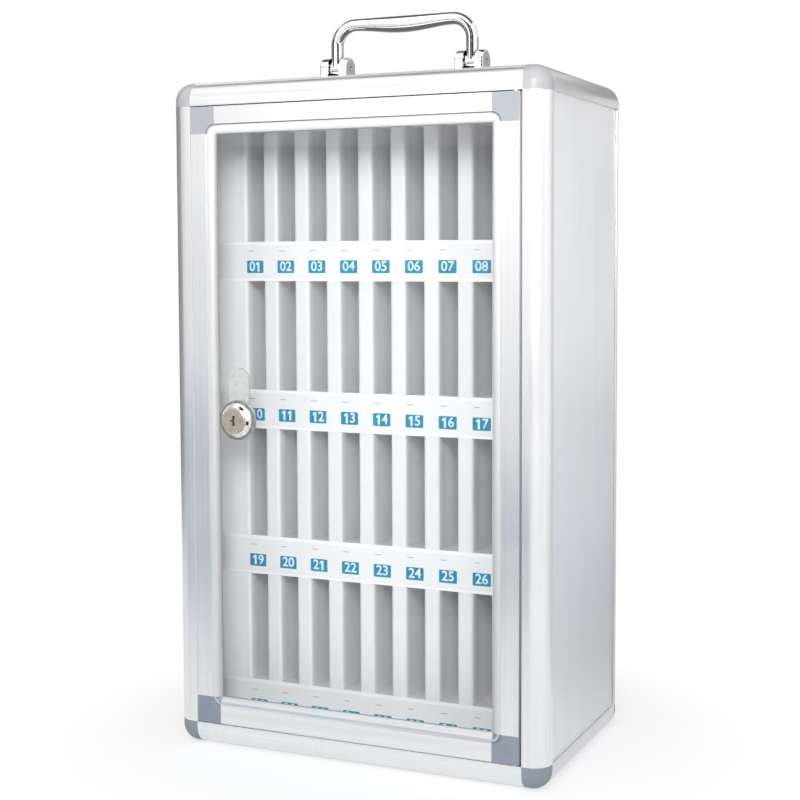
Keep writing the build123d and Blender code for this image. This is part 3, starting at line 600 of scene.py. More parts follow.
ink_print, takes, gives = effect("ink print", {
    "Vector": None, "Ink": (0.1, 0.4, 0.6, 1), "Thin": (0.2, 0.5, 0.6, 1), "Roughness": 0.3})
mottle = noise(ink_print, (-650, 200), takes["Vector"], 60.0, 6.0, 0.65)
dots = noise(ink_print, (-650, -50), takes["Vector"], 2400.0, 2.0)
blotch = maths(ink_print, (-400, 100), "MULTIPLY_ADD", dots, 0.35, mottle)
patch = remapped(ink_print, (-200, 100), blotch, 0.45, 0.9)
feed(ink_print, blended(ink_print, (120, 150), patch, takes["Ink"],
                        takes["Thin"]), gives["Color"])
gloss = maths(ink_print, (120, -50), "MULTIPLY_ADD", mottle, 0.12, takes["Roughness"])
feed(ink_print, gloss, gives["Roughness"])
feed(ink_print, dots, gives["Height"])


def printed(name, ink, thin, roughness):
    """Printed film whose ink is a little uneven."""
    material, tree, surface, at = blank_material(name)
    dress(tree, surface, use(tree, ink_print, (-500, 100), {
        "Vector": at, "Ink": ink, "Thin": thin, "Roughness": roughness}), 0.2, 0.00001)
    return material


label_blue = printed("label blue", (0.002, 0.195, 0.36, 1), (0.003, 0.31, 0.45, 1), 0.5)
label_blue.node_tree.nodes["Principled BSDF"].inputs["Specular IOR Level"].default_value = 0.12
number_white = printed("number white", (0.78, 0.90, 0.93, 1), (0.66, 0.85, 0.90, 1), 0.35)
rule_grey = printed("rule grey", (0.20, 0.20, 0.21, 1), (0.30, 0.30, 0.31, 1), 0.4)


def flat_film(piece, height, material_index):
    """Lays a flat outline at a height as thin film in one of the label's three materials."""
    only(piece)
    piece.data.materials.clear()
    for material in (label_blue, number_white, rule_grey):
        piece.data.materials.append(material)
    for face in piece.data.polygons:
        face.material_index = material_index
    piece.location.z = height
    apply_place()
    edit_all()
    bpy.ops.mesh.extrude_region_move(TRANSFORM_OT_translate={"value": (0, 0, FILM)})
    facing_outwards(piece)


def flat_patch(width, height, place):
    """A flat rectangle, left in edit mode with all of it selected."""
    bpy.ops.mesh.primitive_plane_add(size=1)
    patch = bpy.context.active_object
    patch.scale = (width, height, 1)
    patch.location = place
    apply_place()
    edit_all()
    return patch


label = flat_patch(LABEL_WIDTH, LABEL_HEIGHT, (0, 0, 0))
bpy.ops.mesh.bevel(offset=0.0009, segments=3, affect="VERTICES")
flat_film(label, 0, 0)
rule = flat_patch(RULE_WIDTH, RULE_HEIGHT, (
    RULE_SIDEWAYS, LABEL_HEIGHT / 2 + LABEL_BELOW_FLOOR - RULE_BELOW_FLOOR, 0))
bpy.ops.mesh.bevel(offset=0.0002, segments=2, affect="VERTICES")
flat_film(rule, 0, 2)

# The numeral one has a flag, drawn out of the top of its stem.
one = flat_patch(STEM_WIDTH, DIGIT_HEIGHT, (0.0004, 0, 0))
bpy.ops.mesh.bisect(plane_co=(0, 0.22 * DIGIT_HEIGHT, 0), plane_no=(0, 1, 0))
pick(one, "EDGE", lambda at: at.x < 0.0004 - 0.4 * STEM_WIDTH and at.y > 0.25 * DIGIT_HEIGHT)
bpy.ops.mesh.extrude_edges_move(TRANSFORM_OT_translate={"value": (-0.0017, -0.0009, 0)})
bpy.ops.transform.resize(value=(1, 0.55, 1))
only(one)
numerals = {"1": one}
for character in "023456789":
    bpy.ops.object.text_add()
    outline = bpy.context.active_object.data
    outline.body = character
    outline.align_x = outline.align_y = "CENTER"
    outline.size = DIGIT_SIZE
    outline.offset = 0.00024
    outline.resolution_u = 3
    bpy.ops.object.convert(target="MESH")
    numerals[character] = bpy.context.active_object
for numeral in numerals.values():
    flat_film(numeral, 0.9 * FILM, 1)

for number in range(1, 4 * SLOTS_IN_ROW + 1):
    row, column = divmod(number - 1, SLOTS_IN_ROW)
    shelf_low, shelf_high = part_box(f"rack_shelf_{row + 1}")
    parts = [bpy.data.objects.new(f"slot_label_{number:02d}", label.data.copy()),
             bpy.data.objects.new("rule", rule.data.copy())]
    for place, character in zip((-0.5, 0.5), f"{number:02d}"):
        digit = bpy.data.objects.new("digit", numerals[character].data.copy())
        digit.location.x = place * DIGIT_PITCH
        parts.append(digit)
    for part in parts:
        bpy.context.scene.collection.objects.link(part)
    only(parts[0])
    for part in parts[1:]:
        part.select_set(True)
    bpy.ops.object.join()
    printed_label = parts[0]
    lower = LAST_ROW_LOWER if row == 3 else 0
    printed_label.rotation_euler = (math.radians(90), 0, 0)
    printed_label.location = ((column - (SLOTS_IN_ROW - 1) / 2) * SLOT_PITCH,
                              shelf_low.y - CARD_THICKNESS,
                              shelf_high.z - LABEL_BELOW_FLOOR - LABEL_HEIGHT / 2 - lower)
    apply_place()
    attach(printed_label, "cabinet")
for pattern in (label, rule, *numerals.values()):
    bpy.data.objects.remove(pattern)

# ================================================================ door extrusions and corners
# The door's stiles and rails are one bead-edged aluminium extrusion; square grey mouldings
# join them, and in each the same bead turns a quarter circle round the pane's corner.
BEAD_WIDTH, BEAD_DEPTH, CORNER_BEAD_DEPTH = 0.00765, 0.0046, 0.0045
BEAD_RISE = 0.0077
FACE_WIDTH = 0.0163
GROOVE_MIDDLE, GROOVE_HALF, GROOVE_DEPTH = 0.0159, 0.0006, 0.0009
ROUND_GROOVE = 0.0009
DOOR_EASE = 0.00014
FLANK_LEVEL = 0.0005

corner_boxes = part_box("door_corner_lock_bottom"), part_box("door_corner_hinge_top")
door_low = Vector(min(ends) for ends in zip(*corner_boxes[0], *corner_boxes[1]))
door_high = Vector(max(ends) for ends in zip(*corner_boxes[0], *corner_boxes[1]))
pane_edge = {"hinge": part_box("door_stile_hinge_side")[0].x,
             "lock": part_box("door_stile_lock_side")[1].x,
             "top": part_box("door_rail_top")[0].z, "bottom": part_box("door_rail_bottom")[1].z}
door_bright, door_dark = (0.815, 0.818, 0.82, 1), (0.715, 0.718, 0.73, 1)
door_upright = anodised("door anodised upright", (ACROSS, ACROSS, ALONG),
                        door_bright, door_dark, 0.36)
door_sideways = anodised("door anodised sideways", (ALONG, ACROSS, ACROSS),
                         door_bright, door_dark, 0.36)
door_bars = [deburred(node, name, DOOR_EASE, finish) for node, name, finish in (
    ("door_stile_hinge_side", "door_stile_by_hinge", door_upright),
    ("door_stile_lock_side", "door_stile_by_lock", door_upright),
    ("door_rail_top", "door_rail_upper", door_sideways),
    ("door_rail_bottom", "door_rail_lower", door_sideways))]

top, bottom, by_lock = pane_edge["top"], pane_edge["bottom"], pane_edge["lock"]
# The upper rail's bead is painted near white, brightest across its middle and darker at its edges:
# painted highlight and painted shade.
bead_upper_painted_light = anodised("bead painted light", (ALONG, ACROSS, ACROSS), (0.95, 0.95, 0.945, 1),
                      (0.90, 0.90, 0.90, 1), 0.5, metallic=0.3, stops=(
                          (top, 0.72), (top + 0.0018, 0.96), (top + 0.0052, 1.0),
                          (top + 0.0066, 0.82), (top + BEAD_RISE, 0.5)))
# The hinge stile's bead is painted near white and greyer towards the bottom: painted highlight and
# painted shade.
bead_hinge_painted_light = anodised("bead painted light upright", (ACROSS, ACROSS, ALONG), (0.93, 0.93, 0.925, 1),
                      (0.88, 0.88, 0.88, 1), 0.5, metallic=0.3, stops=(
                          (0.05, 0.62), (0.2, 0.64), (0.35, 0.80), (0.5, 1.0)))
# The lock stile's bead greys towards the pane: painted shade.
bead_lock_painted_shade = anodised("bead by lock painted shade", (ACROSS, ACROSS, ALONG), (0.93, 0.93, 0.925, 1),
                        (0.88, 0.88, 0.88, 1), 0.45, metallic=0.5, axis="X", stops=(
                            (by_lock - BEAD_RISE, 0.74), (by_lock - 0.004, 0.64),
                            (by_lock - 0.002, 0.52), (by_lock, 0.43)))
# The lower rail's bead and groove grey towards the pane and towards the right: painted shade.
bead_lower_painted_shade = anodised("bead lower painted shade", (ALONG, ACROSS, ACROSS), (0.90, 0.905, 0.915, 1),
                     (0.80, 0.805, 0.82, 1), 0.36, stops=(
                         (bottom - BEAD_RISE, 0.98), (bottom - 0.004, 0.86), (bottom, 0.68)))
graded_again(bead_lower_painted_shade, "X", ((-0.13, 1.0), (-0.02, 0.97), (0.05, 0.86), (0.13, 0.78)))
# The groove between face and bead on the upper rail and round the corners is painted near black:
# painted shade.
groove_painted_shade = anodised("groove painted shade", (90.0, 90.0, 90.0), (0.22, 0.22, 0.225, 1),
                       (0.14, 0.14, 0.145, 1), 0.6)
for name, level, bead, groove in (
        ("door_rail_upper", door_high.z, bead_upper_painted_light, groove_painted_shade),
        ("door_rail_lower", door_low.z, bead_lower_painted_shade, bead_lower_painted_shade)):
    second_finish(bpy.data.objects[name], bead, lambda at, normal: (
        abs(at.z - level) > FACE_WIDTH and normal.y < -0.3 and at.y < front_face + BEAD_DEPTH))
    second_finish(bpy.data.objects[name], groove, lambda at, normal: (
        abs(abs(at.z - level) - GROOVE_MIDDLE) < GROOVE_HALF and normal.y > -0.9
        and at.y < front_face + GROOVE_DEPTH))
for name, level, bead in (("door_stile_by_hinge", door_high.x, bead_hinge_painted_light),
                          ("door_stile_by_lock", door_low.x, bead_lock_painted_shade)):
    second_finish(bpy.data.objects[name], bead, lambda at, normal: (
        abs(at.x - level) > FACE_WIDTH and normal.y < -0.3 and at.y < front_face + BEAD_DEPTH))

corner_finish = {
    "top": moulded("door corner pale grey", (0.345, 0.367, 0.387, 1),
                   (0.42, 0.443, 0.463, 1), 0.4),
    "bottom": moulded("door corner slate grey", (0.20, 0.23, 0.275, 1),
                      (0.27, 0.30, 0.345, 1), 0.4)}
# Round each pane corner the bead is painted brighter and darker outward from the corner, bluish
# and darker at the bottom: painted highlight and painted shade.
round_finish = {
    "top": ((0.90, 0.90, 0.895, 1), (0.84, 0.84, 0.84, 1), (
        (0.0, 0.85), (0.003, 1.0), (0.0055, 0.95), (0.0068, 0.6), (BEAD_RISE, 0.3))),
    "bottom": ((0.70, 0.76, 0.84, 1), (0.64, 0.70, 0.78, 1), (
        (0.0, 0.32), (0.0045, 0.35), (0.0056, 0.74), (0.0066, 0.42), (BEAD_RISE, 0.25)))}
for side in ("hinge", "lock"):
    for level, (bright, dark, stops) in round_finish.items():
        joint = deburred(f"door_corner_{side}_{level}", f"door_joint_{side}_{level}",
                         DOOR_EASE, corner_finish[level])
        pane_corner = Vector((pane_edge[side], 0, pane_edge[level]))
        bead_round = anodised(f"bead round {side} {level}", (ALONG, ACROSS, ACROSS), bright,
                              dark, 0.5, metallic=0.3, axis=pane_corner, stops=stops)
        second_finish(joint, bead_round, lambda at, normal: (
            math.hypot(at.x - pane_corner.x, at.z - pane_corner.z) < BEAD_WIDTH
            and at.y < front_face + CORNER_BEAD_DEPTH))
        second_finish(joint, groove_painted_shade, lambda at, normal: (
            0 < math.hypot(at.x - pane_corner.x, at.z - pane_corner.z) - BEAD_WIDTH
            < ROUND_GROOVE and normal.y > -0.85 and at.y < front_face + GROOVE_DEPTH))
        door_bars.append(joint)
# The door's flanks across the gaps take the same painted light, with its painted shade towards the
# bottom except by the lock.
for bar in door_bars:
    second_finish(bar, gap_painted_light, lambda at, normal: (
        abs(normal.y) < 0.2 and (at.x > door_high.x - FLANK_LEVEL
                                 or at.z < door_low.z + FLANK_LEVEL
                                 or at.z > door_high.z - FLANK_LEVEL)))
    second_finish(bar, even_gap_painted_light, lambda at, normal: (
        abs(normal.y) < 0.2 and at.x < door_low.x + FLANK_LEVEL))

# ================================================================ pane and gasket
# A clear acrylic sheet, bedded on a thin grey rubber gasket behind the bead.
clear_pane, tree, surface, at = blank_material("pane clear")
wipe = noise(tree, (-700, -100), at, 9.0, 5.0, 0.6, 0.8)
ripple = shader(tree, "ShaderNodeBump", (0, -250),
                {"Height": wipe, "Strength": 0.1, "Distance": 0.0002})
feed(tree, blended(tree, (-200, 100), wipe, (0.97, 0.975, 0.98, 1),
                   (0.995, 0.995, 1.0, 1)), surface.inputs["Base Color"])
feed(tree, ripple.outputs["Normal"], surface.inputs["Normal"])
surface.inputs["Roughness"].default_value = 0.02
surface.inputs["Transmission Weight"].default_value = 1.0
surface.inputs["IOR"].default_value = 1.38
lamps_pass = shader(tree, "ShaderNodeBsdfTransparent", (500, 200),
                    {"Color": (0.96, 0.97, 0.975, 1)})
ray = shader(tree, "ShaderNodeLightPath", (200, 400))
either = maths(tree, (400, 400), "MAXIMUM", ray.outputs["Is Shadow Ray"],
               ray.outputs["Is Diffuse Ray"])
shared = shader(tree, "ShaderNodeMixShader", (700, 200),
                {0: either, 1: surface.outputs["BSDF"],
                 2: lamps_pass.outputs["BSDF"]})
feed(tree, shared.outputs["Shader"], tree.nodes["Material Output"].inputs["Surface"])
gasket_rubber = moulded("gasket rubber", (0.22, 0.225, 0.23, 1), (0.30, 0.305, 0.31, 1), 0.55)
for node, material in (("door_pane", clear_pane), ("pane_gasket", gasket_rubber)):
    nodes[node].data.materials.clear()
    nodes[node].data.materials.append(material)

# ================================================================ cam lock
# A nickel-plated turned housing through the pane, held by a ring nut behind it.  The brass
# plug turns in it and carries a pressed steel cam under a pan-head screw.

turned_metal, takes, gives = effect("turned metal", {
    "Vector": None, "Bright": (0.8, 0.8, 0.8, 1), "Dark": (0.6, 0.6, 0.6, 1), "Roughness": 0.2})
apart = shader(turned_metal, "ShaderNodeVectorMath", (-800, 0), {0: takes["Vector"]},
               operation="LENGTH")
cut = shader(turned_metal, "ShaderNodeTexNoise", (-550, 150),
             {"W": apart.outputs["Value"], "Scale": 5200.0, "Detail": 3.0}, noise_dimensions="1D")
tarnish = noise(turned_metal, (-550, -120), takes["Vector"], 210.0, 6.0, 0.65)
blend = maths(turned_metal, (-300, 50), "MULTIPLY_ADD", cut.outputs["Fac"], 0.35, tarnish)
stain = remapped(turned_metal, (-80, 50), blend, 0.5, 0.85)
feed(turned_metal, blended(turned_metal, (150, 150), stain, takes["Bright"],
                           takes["Dark"]), gives["Color"])
dulled = maths(turned_metal, (150, -80), "MULTIPLY_ADD", tarnish, 0.2, takes["Roughness"])
feed(turned_metal, dulled, gives["Roughness"])
feed(turned_metal, cut.outputs["Fac"], gives["Height"])


def turned(name, centre, bright, dark, roughness, metallic=1.0):
    """Metal with lathe marks round an axis through the centre."""
    material, tree, surface, at = blank_material(name)
    about = shader(tree, "ShaderNodeMapping", (-900, 100),
                   {"Vector": at, "Location": tuple(-value for value in centre)})
    dress(tree, surface, use(tree, turned_metal, (-500, 100), {
        "Vector": about.outputs["Vector"], "Bright": bright, "Dark": dark,
        "Roughness": roughness}), 0.3, 0.00001)
    surface.inputs["Metallic"].default_value = metallic
    return material


low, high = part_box("lock_housing")
lock_axis = ((low.x + high.x) / 2, low.y, (low.z + high.z) / 2)
bezel_nickel = turned("bezel nickel", lock_axis, (0.95, 0.92, 0.88, 1),
                      (0.66, 0.625, 0.575, 1), 0.16)
plug_brass = turned("plug brass", lock_axis, (0.79, 0.68, 0.55, 1), (0.53, 0.44, 0.34, 1), 0.28)
cam_zinc = turned("cam zinc", lock_axis, (0.69, 0.705, 0.67, 1), (0.54, 0.56, 0.53, 1), 0.34)
nut_zinc = turned("nut zinc", lock_axis, (0.62, 0.62, 0.61, 1), (0.24, 0.24, 0.24, 1), 0.3,
                  metallic=0.4)
rim_nickel = turned("rim nickel", lock_axis, (0.93, 0.91, 0.88, 1), (0.68, 0.66, 0.62, 1), 0.3,
                    metallic=0.25)
index_notch_painted_shade = printed("index notch painted shade", (0.02, 0.02, 0.02, 1), (0.05, 0.05, 0.05, 1), 0.5)
RIM_RADIUS = 0.0148
MARK_RADIUS, MARK_HALF_WIDTH, MARK_DEPTH = 0.013, 0.00095, 0.0048
housing = deburred("lock_housing", "lock_bezel_and_barrel", 0.00025, bezel_nickel)
second_finish(housing, rim_nickel, lambda at, normal: (
    abs(normal.y) < 0.3 and normal.z < 0.45
    and math.hypot(at.x - lock_axis[0], at.z - lock_axis[2]) > RIM_RADIUS))
# The faces of the two index notches are painted near black: painted shade in the notches.
for clockwise, half_length in ((32, 0.0028), (98, 0.0019)):
    outward = Vector((math.sin(math.radians(clockwise)), 0, math.cos(math.radians(clockwise))))
    sideways = Vector((outward.z, 0, -outward.x))
    second_finish(housing, index_notch_painted_shade, lambda at, normal: (
        abs((at - Vector(lock_axis)).dot(outward) - MARK_RADIUS) < MARK_HALF_WIDTH
        and abs((at - Vector(lock_axis)).dot(sideways)) < half_length
        and at.y < front_face + MARK_DEPTH))
deburred("lock_plug", "lock_plug_turned", 0.00015, plug_brass)
deburred("lock_cam", "lock_cam_pressed", 0.0003, cam_zinc)
deburred("cam_screw", "lock_cam_screw", 0.0002, cam_zinc)

# The ring nut is turned, and its rim is notched for a spanner.
NUT_NOTCHES, NUT_BORE = 24, 0.01252
low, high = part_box("lock_ring_nut")
nut_radius = (high.x - low.x) / 2


def turned_ring(sides, radius, bore, length):
    """A ring round the Z axis, from its foot at Z 0, left in edit mode."""
    bpy.ops.mesh.primitive_circle_add(vertices=sides, radius=radius, fill_type="NOTHING")
    edit_all()
    bpy.ops.mesh.extrude_edges_move(TRANSFORM_OT_translate={"value": (0, 0, 0)})
    bpy.ops.transform.resize(value=(bore / radius, bore / radius, 1))
    bpy.ops.mesh.select_all(action="SELECT")
    bpy.ops.mesh.extrude_region_move(TRANSFORM_OT_translate={"value": (0, 0, length)})
    return bpy.context.active_object


nut = turned_ring(2 * NUT_NOTCHES, nut_radius, NUT_BORE, high.y - low.y)
nut.name = "lock_nut_knurled"
turn = math.pi / NUT_NOTCHES
pick(nut, "FACE", lambda at: math.hypot(at.x, at.y) > nut_radius * 0.95
     and round((math.atan2(at.y, at.x) - turn / 2) / turn) % 2 == 0)
bpy.ops.mesh.inset(thickness=0.0003, depth=-0.0007, use_individual=True)
only(nut)
nut.rotation_euler = (math.radians(90), 0, 0)
nut.location = (lock_axis[0], high.y, lock_axis[2])
apply_place()
facing_outwards(nut)
ease_edges(nut, 0.00015, segments=2, angle=50)
finished(nut)
fit_out(nut, "lock_ring_nut", nut_zinc)

# ================================================================ hinges
# A plain steel pin at each end of the hinge stile turns in a plastic block in the frame rail.
hinge_nylon = moulded("hinge nylon", (0.20, 0.215, 0.23, 1), (0.27, 0.28, 0.30, 1), 0.42)
pin_steel = anodised("pin steel", (600.0, 600.0, 90.0), (0.60, 0.61, 0.62, 1),
                     (0.48, 0.49, 0.50, 1), 0.25)
for level in ("top", "bottom"):
    deburred(f"hinge_block_{level}", f"hinge_bearing_{level}", 0.0003, hinge_nylon)
deburred("hinge_pins", "hinge_pivot_pins", 0.0002, pin_steel)

# ================================================================ carrying handle
# A forged and chromed bail with a bellied grip.  Its eyes turn on steel pins between the ears
# of two cast feet, which are bolted down from inside the cabinet.

chrome_skin, takes, gives = effect("chrome skin", {
    "Vector": None, "Bright": (0.9, 0.9, 0.9, 1), "Hazed": (0.8, 0.8, 0.8, 1), "Roughness": 0.05})
touch = noise(chrome_skin, (-650, 200), takes["Vector"], 75.0, 6.0, 0.6, 0.6)
flow = noise(chrome_skin, (-650, -50), takes["Vector"], 130.0, 1.0)
film = remapped(chrome_skin, (-400, 200), touch, 0.45, 0.75)
bright = blended(chrome_skin, (120, 200), film, takes["Bright"], takes["Hazed"])
# Where the surface is closed in within a few millimetres its colour goes near black: painted shade
# in the crevices.
crevice_occlusion = shader(chrome_skin, "ShaderNodeAmbientOcclusion", (-400, 450), {"Distance": 0.004},
              samples=8)
painted_crevice_shade = remapped(chrome_skin, (-150, 450), crevice_occlusion.outputs["AO"], 0.15, 0.75, 1.0, 0.0)
feed(chrome_skin, blended(chrome_skin, (400, 250), painted_crevice_shade, bright,
                          (0.05, 0.05, 0.055, 1)), gives["Color"])
haze = maths(chrome_skin, (120, -50), "MULTIPLY_ADD", film, 0.10, takes["Roughness"])
feed(chrome_skin, haze, gives["Roughness"])
feed(chrome_skin, flow, gives["Height"])

handle_chrome, tree, surface, at = blank_material("handle chrome")
dress(tree, surface, use(tree, chrome_skin, (-500, 100), {
    "Vector": at, "Bright": (0.90, 0.905, 0.91, 1), "Hazed": (0.80, 0.80, 0.80, 1),
    "Roughness": 0.05}), 0.15, 0.00002)
surface.inputs["Metallic"].default_value = 1.0

LEG_THICKNESS, LEG_DEPTH = 0.011, 0.013
GRIP_MIDDLE_THICKNESS, GRIP_MIDDLE_DEPTH = 0.015, 0.0165
SHOULDER_RADIUS = 0.019
LEG_SIDES, GRIP_STEPS = 40, 10
PIN_BORE = 0.00252
low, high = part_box("handle_grip")
leg_x, bail_y, pivot_z = high.x - LEG_THICKNESS / 2, (low.y + high.y) / 2, low.z + LEG_DEPTH / 2
straight_top = high.z - LEG_THICKNESS / 2 - SHOULDER_RADIUS
grip_half = leg_x - SHOULDER_RADIUS
bpy.ops.mesh.primitive_circle_add(vertices=LEG_SIDES, radius=0.5, fill_type="NOTHING",
                                  location=(leg_x, bail_y, pivot_z))
bail = bpy.context.active_object
bail.name = "handle_bail"
bail.scale = (LEG_THICKNESS, LEG_DEPTH, 1)
apply_place()
edit_all()
for _ in range(3):
    bpy.ops.mesh.extrude_edges_move(
        TRANSFORM_OT_translate={"value": (0, 0, (straight_top - pivot_z) / 3)})
bpy.ops.mesh.spin(steps=14, angle=math.radians(90), center=(grip_half, bail_y, straight_top),
                  axis=(0, 1, 0))
depth, thickness = LEG_DEPTH, LEG_THICKNESS
for step in range(1, GRIP_STEPS + 1):
    share = 1 - step / GRIP_STEPS
    belly = (1 - share * share) ** 2
    deeper = LEG_DEPTH + belly * (GRIP_MIDDLE_DEPTH - LEG_DEPTH)
    thicker = LEG_THICKNESS + belly * (GRIP_MIDDLE_THICKNESS - LEG_THICKNESS)
    bpy.ops.mesh.extrude_edges_move(TRANSFORM_OT_translate={
        "value": (-grip_half / GRIP_STEPS, 0, (thickness - thicker) / 2)})
    bpy.ops.transform.resize(value=(1, deeper / depth, thicker / thickness),
                             center_override=(share * grip_half, bail_y, high.z - thicker / 2))
    depth, thickness = deeper, thicker
pick(bail, "EDGE", lambda at: at.z < pivot_z + 0.0001)
bpy.ops.mesh.edge_face_add()
only(bail)

eye = turned_ring(LEG_SIDES, LEG_DEPTH / 2, PIN_BORE, LEG_THICKNESS)
only(eye)
eye.rotation_euler = (0, math.radians(90), 0)
eye.location = (leg_x - LEG_THICKNESS / 2, bail_y, pivot_z)
apply_place()
ease_edges(eye, 0.0005, angle=50)
only(bail)
eye.select_set(True)
bpy.ops.object.join()
other_leg = bail.modifiers.new("other leg", "MIRROR")
other_leg.use_clip = True
other_leg.merge_threshold = 0.00001
bpy.ops.object.modifier_apply(modifier=other_leg.name)
facing_outwards(bail)
finished(bail, smooth_angle=50)
fit_out(bail, "handle_grip", handle_chrome)
for side in ("left", "right"):
    deburred(f"handle_foot_{side}", f"handle_foot_cast_{side}", 0.0003, handle_chrome)
deburred("handle_pivot_pins", "handle_pins", 0.0003, pin_steel)
deburred("handle_foot_bolts", "handle_bolts", 0.0003, pin_steel)

# ================================================================ floor, light and air
# A plain white floor that keeps the cabinet's soft shadow and fades into a white studio.
studio_white, tree, surface, at = blank_material("studio white")
surface.inputs["Base Color"].default_value = (0.88, 0.89, 0.91, 1)
surface.inputs["Roughness"].default_value = 0.9
glow = shader(tree, "ShaderNodeEmission", (500, 250), {"Color": (1, 1, 1, 1), "Strength": 1.0})
away = shader(tree, "ShaderNodeVectorMath", (-900, 300), {0: at}, operation="LENGTH")
fade = remapped(tree, (-650, 300), away.outputs["Value"], 0.15, 0.36, 0.62,
                interpolation_type="SMOOTHSTEP")


def by_eye(tree):
    """One where the camera looks, also in shiny surfaces and through the pane, else nought."""
    ray = shader(tree, "ShaderNodeLightPath", (-900, 600))
    direct = maths(tree, (-650, 600), "MAXIMUM", ray.outputs["Is Camera Ray"],
                   ray.outputs["Is Glossy Ray"])
    return maths(tree, (-450, 600), "MAXIMUM", direct, ray.outputs["Is Transmission Ray"])


share = maths(tree, (-200, 450), "MULTIPLY", by_eye(tree), fade)
floor_mix = shader(tree, "ShaderNodeMixShader", (700, 200),
                   {0: share, 1: surface.outputs["BSDF"],
                    2: glow.outputs["Emission"]})
feed(tree, floor_mix.outputs["Shader"], tree.nodes["Material Output"].inputs["Surface"])
bpy.ops.mesh.primitive_plane_add(size=14)
floor = bpy.context.active_object
floor.name = "studio_floor"
floor.data.materials.append(studio_white)

world = bpy.data.worlds.new("white studio")
bpy.context.scene.world = world
world.use_nodes = True
tree = world.node_tree
tree.nodes.clear()
soft_air = shader(tree, "ShaderNodeBackground", (0, 0),
                  {"Color": (0.98, 0.99, 1.0, 1), "Strength": 0.42})
backdrop = shader(tree, "ShaderNodeBackground", (0, -200),
                  {"Color": (1, 1, 1, 1), "Strength": 1.0})
air_mix = shader(tree, "ShaderNodeMixShader", (250, 0),
                 {0: by_eye(tree), 1: soft_air.outputs["Background"],
                  2: backdrop.outputs["Background"]})
out = shader(tree, "ShaderNodeOutputWorld", (450, 0))
feed(tree, air_mix.outputs["Shader"], out.inputs["Surface"])


def softbox(name, place, aim, width, height, watts):
    """A rectangular lamp that is aimed at a point."""
    bpy.ops.object.light_add(type="AREA", location=place)
    lamp = bpy.context.active_object
    lamp.name = name
    lamp.data.shape = "RECTANGLE"
    lamp.data.size = width
    lamp.data.size_y = height
    lamp.data.energy = watts
    lamp.rotation_euler = (Vector(aim) - Vector(place)).to_track_quat("-Z", "Y").to_euler()


softbox("key_softbox", (0.45, -1.4, 1.02), (0.0, 0.0, 0.3), 0.42, 0.6, 14.5)
softbox("right_softbox", (1.15, -1.25, 1.25), (0.0, 0.0, 0.35), 1.0, 1.0, 9)
softbox("front_left_softbox", (-0.95, -2.1, 0.95), (0.0, 0.0, 0.6), 1.4, 0.5, 2.4)
softbox("overhead_softbox", (-0.1, -0.75, 1.9), (0.0, 0.0, 0.6), 1.5, 0.8, 5)


def flag(name, start, end, low, high, value, blue=1.0, reach=0.0):
    """Upright grey card from one floor point to another, seen only in shiny surfaces that
    are farther from it than its reach."""
    card, tree, surface, at = blank_material(name)
    tone = shader(tree, "ShaderNodeEmission", (500, 250),
                  {"Color": (value / blue, value, value * blue, 1), "Strength": 1.0})
    shown = tone.outputs["Emission"]
    if reach:
        path = shader(tree, "ShaderNodeLightPath", (100, 400))
        beyond = maths(tree, (300, 400), "GREATER_THAN", path.outputs["Ray Length"], reach)
        clear = shader(tree, "ShaderNodeBsdfTransparent", (500, 100))
        shown = shader(tree, "ShaderNodeMixShader", (700, 300),
                       {0: beyond, 1: clear.outputs["BSDF"],
                        2: shown}).outputs["Shader"]
    feed(tree, shown, tree.nodes["Material Output"].inputs["Surface"])
    bpy.ops.mesh.primitive_plane_add(size=1)
    board = bpy.context.active_object
    board.name = name
    span = Vector((end[0] - start[0], end[1] - start[1], 0))
    board.scale = (span.length, high - low, 1)
    board.rotation_euler = (math.radians(90), 0, math.atan2(span.y, span.x))
    board.location = ((start[0] + end[0]) / 2, (start[1] + end[1]) / 2, (low + high) / 2)
    board.data.materials.append(card)
    board.visible_camera = board.visible_diffuse = board.visible_transmission = False
    board.visible_shadow = board.visible_volume_scatter = False
    return board


flag("left_flag", (-1.2, -0.6), (-1.2, 1.4), 0.0, 1.4, 0.22)
flag("rear_flag", (-1.2, 1.4), (0.12, 1.4), 0.0, 0.62, 0.30)
flag("rear_upper_flag", (-1.6, 1.4), (0.1, 1.4), 0.62, 1.35, 0.16)
flag("low_front_left_flag", (-0.75, -0.42), (-0.12, -0.64), 0.0, 0.28, 0.47, blue=1.2)
flag("low_front_right_flag", (-0.12, -0.64), (0.12, -0.72), 0.0, 0.18, 0.32, blue=1.2)
flag("left_front_card", (-1.0, -2.2), (-2.0, -1.4), 0.25, 1.1, 0.72)
flag("camera_flag", (0.05, -2.0), (0.45, -2.0), 0.0, 0.8, 0.5)
flag("handle_front_card", (0.008, -0.185), (0.260, -0.125), 0.632, 0.79, 0.04, reach=0.155)
flag("handle_left_card", (-0.171, -0.168), (-0.262, -0.078), 0.612, 0.70, 0.10, reach=0.13)
flag("handle_rear_card", (-0.02, 0.24), (0.26, 0.14), 0.601, 0.67, 0.42)
flag("right_card", (1.7, -0.5), (1.7, 0.45), 0.1, 1.2, 1.3)
flag("right_rear_flag", (1.15, 0.8), (0.9, 1.06), 0.0, 1.2, 0.62)
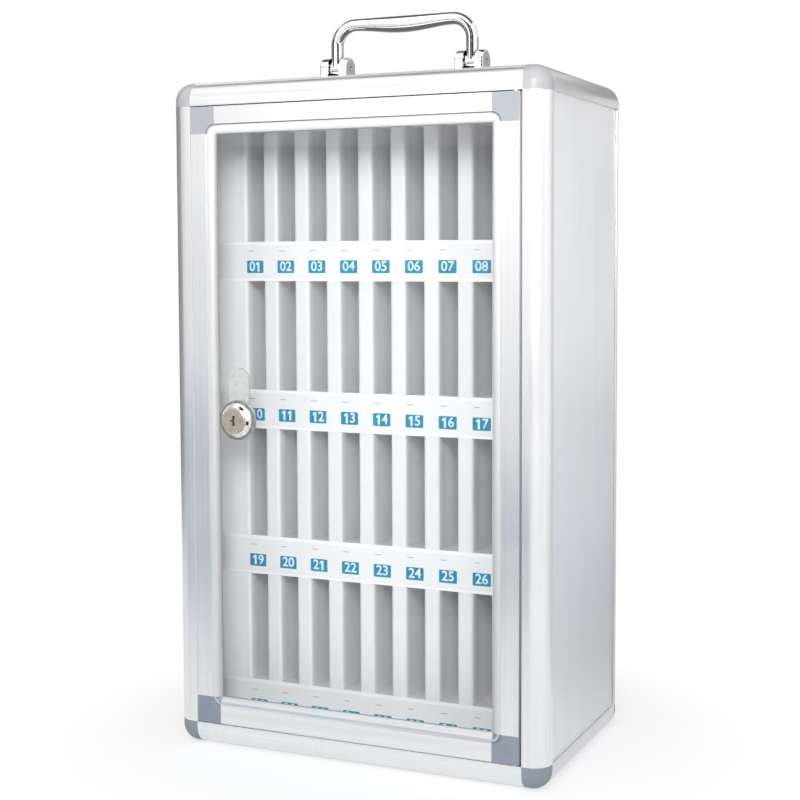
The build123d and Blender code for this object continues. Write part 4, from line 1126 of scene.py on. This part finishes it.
flag("low_rear_flag", (0.3, 1.25), (1.0, 1.0), 0.0, 0.24, 0.72, blue=1.05)
ceiling = flag("ceiling_flag", (-1.3, 0.75), (0.8, 0.75), 0.0, 1.6, 0.10)
ceiling.rotation_euler.x = math.radians(18)
ceiling.location.z = 1.72
for name, near, far, value, height in (("ground_card", 0.15, 1.1, 0.66, 0.002),
                                       ("bench_card_front", -0.078, -0.056, 0.30, 0.6004),
                                       ("bench_card_rear", -0.024, 0.086, 0.16, 0.6004)):
    ends = (0.25, 1.25) if name == "ground_card" else (-0.15, 0.13)
    lying = flag(name, (ends[0], (near + far) / 2), (ends[1], (near + far) / 2), 0.0, far - near,
                 value, blue=1.05)
    lying.rotation_euler.x = 0
    lying.location.z = height

# ================================================================ camera
# Stands to the right of the door and a little below its top, as a tall view camera would.
CAMERA_AT = Vector((0.5706, -1.2712, 0.4444))
YAW, PITCH, ROLL = 0.4226, 0.0681, -0.0038
FOCAL_PIXELS, FRAME_PIXELS = 1514.8, 800
SENSOR_WIDTH, FRONT_DROP = 36, -0.05
forward_flat = Vector((-math.sin(YAW), math.cos(YAW), 0))
level_right = Vector((math.cos(YAW), math.sin(YAW), 0))
straight_up = Vector((0, 0, 1))
forward = forward_flat * math.cos(PITCH) - straight_up * math.sin(PITCH)
upward = straight_up * math.cos(PITCH) + forward_flat * math.sin(PITCH)
camera_right = level_right * math.cos(ROLL) + upward * math.sin(ROLL)
camera_up = upward * math.cos(ROLL) - level_right * math.sin(ROLL)
bpy.ops.object.camera_add(location=CAMERA_AT)
camera = bpy.context.active_object
camera.name = "view_camera"
turned_to = camera.matrix_world.copy()
for index, axis in enumerate((camera_right, camera_up, -forward)):
    for line in range(3):
        turned_to[line][index] = axis[line]
camera.matrix_world = turned_to
camera.data.sensor_width = SENSOR_WIDTH
camera.data.lens = FOCAL_PIXELS / FRAME_PIXELS * SENSOR_WIDTH
camera.data.shift_y = FRONT_DROP
camera.data.clip_start, camera.data.clip_end = 0.05, 60
bpy.context.scene.camera = camera
bpy.context.scene.view_settings.view_transform = "Standard"
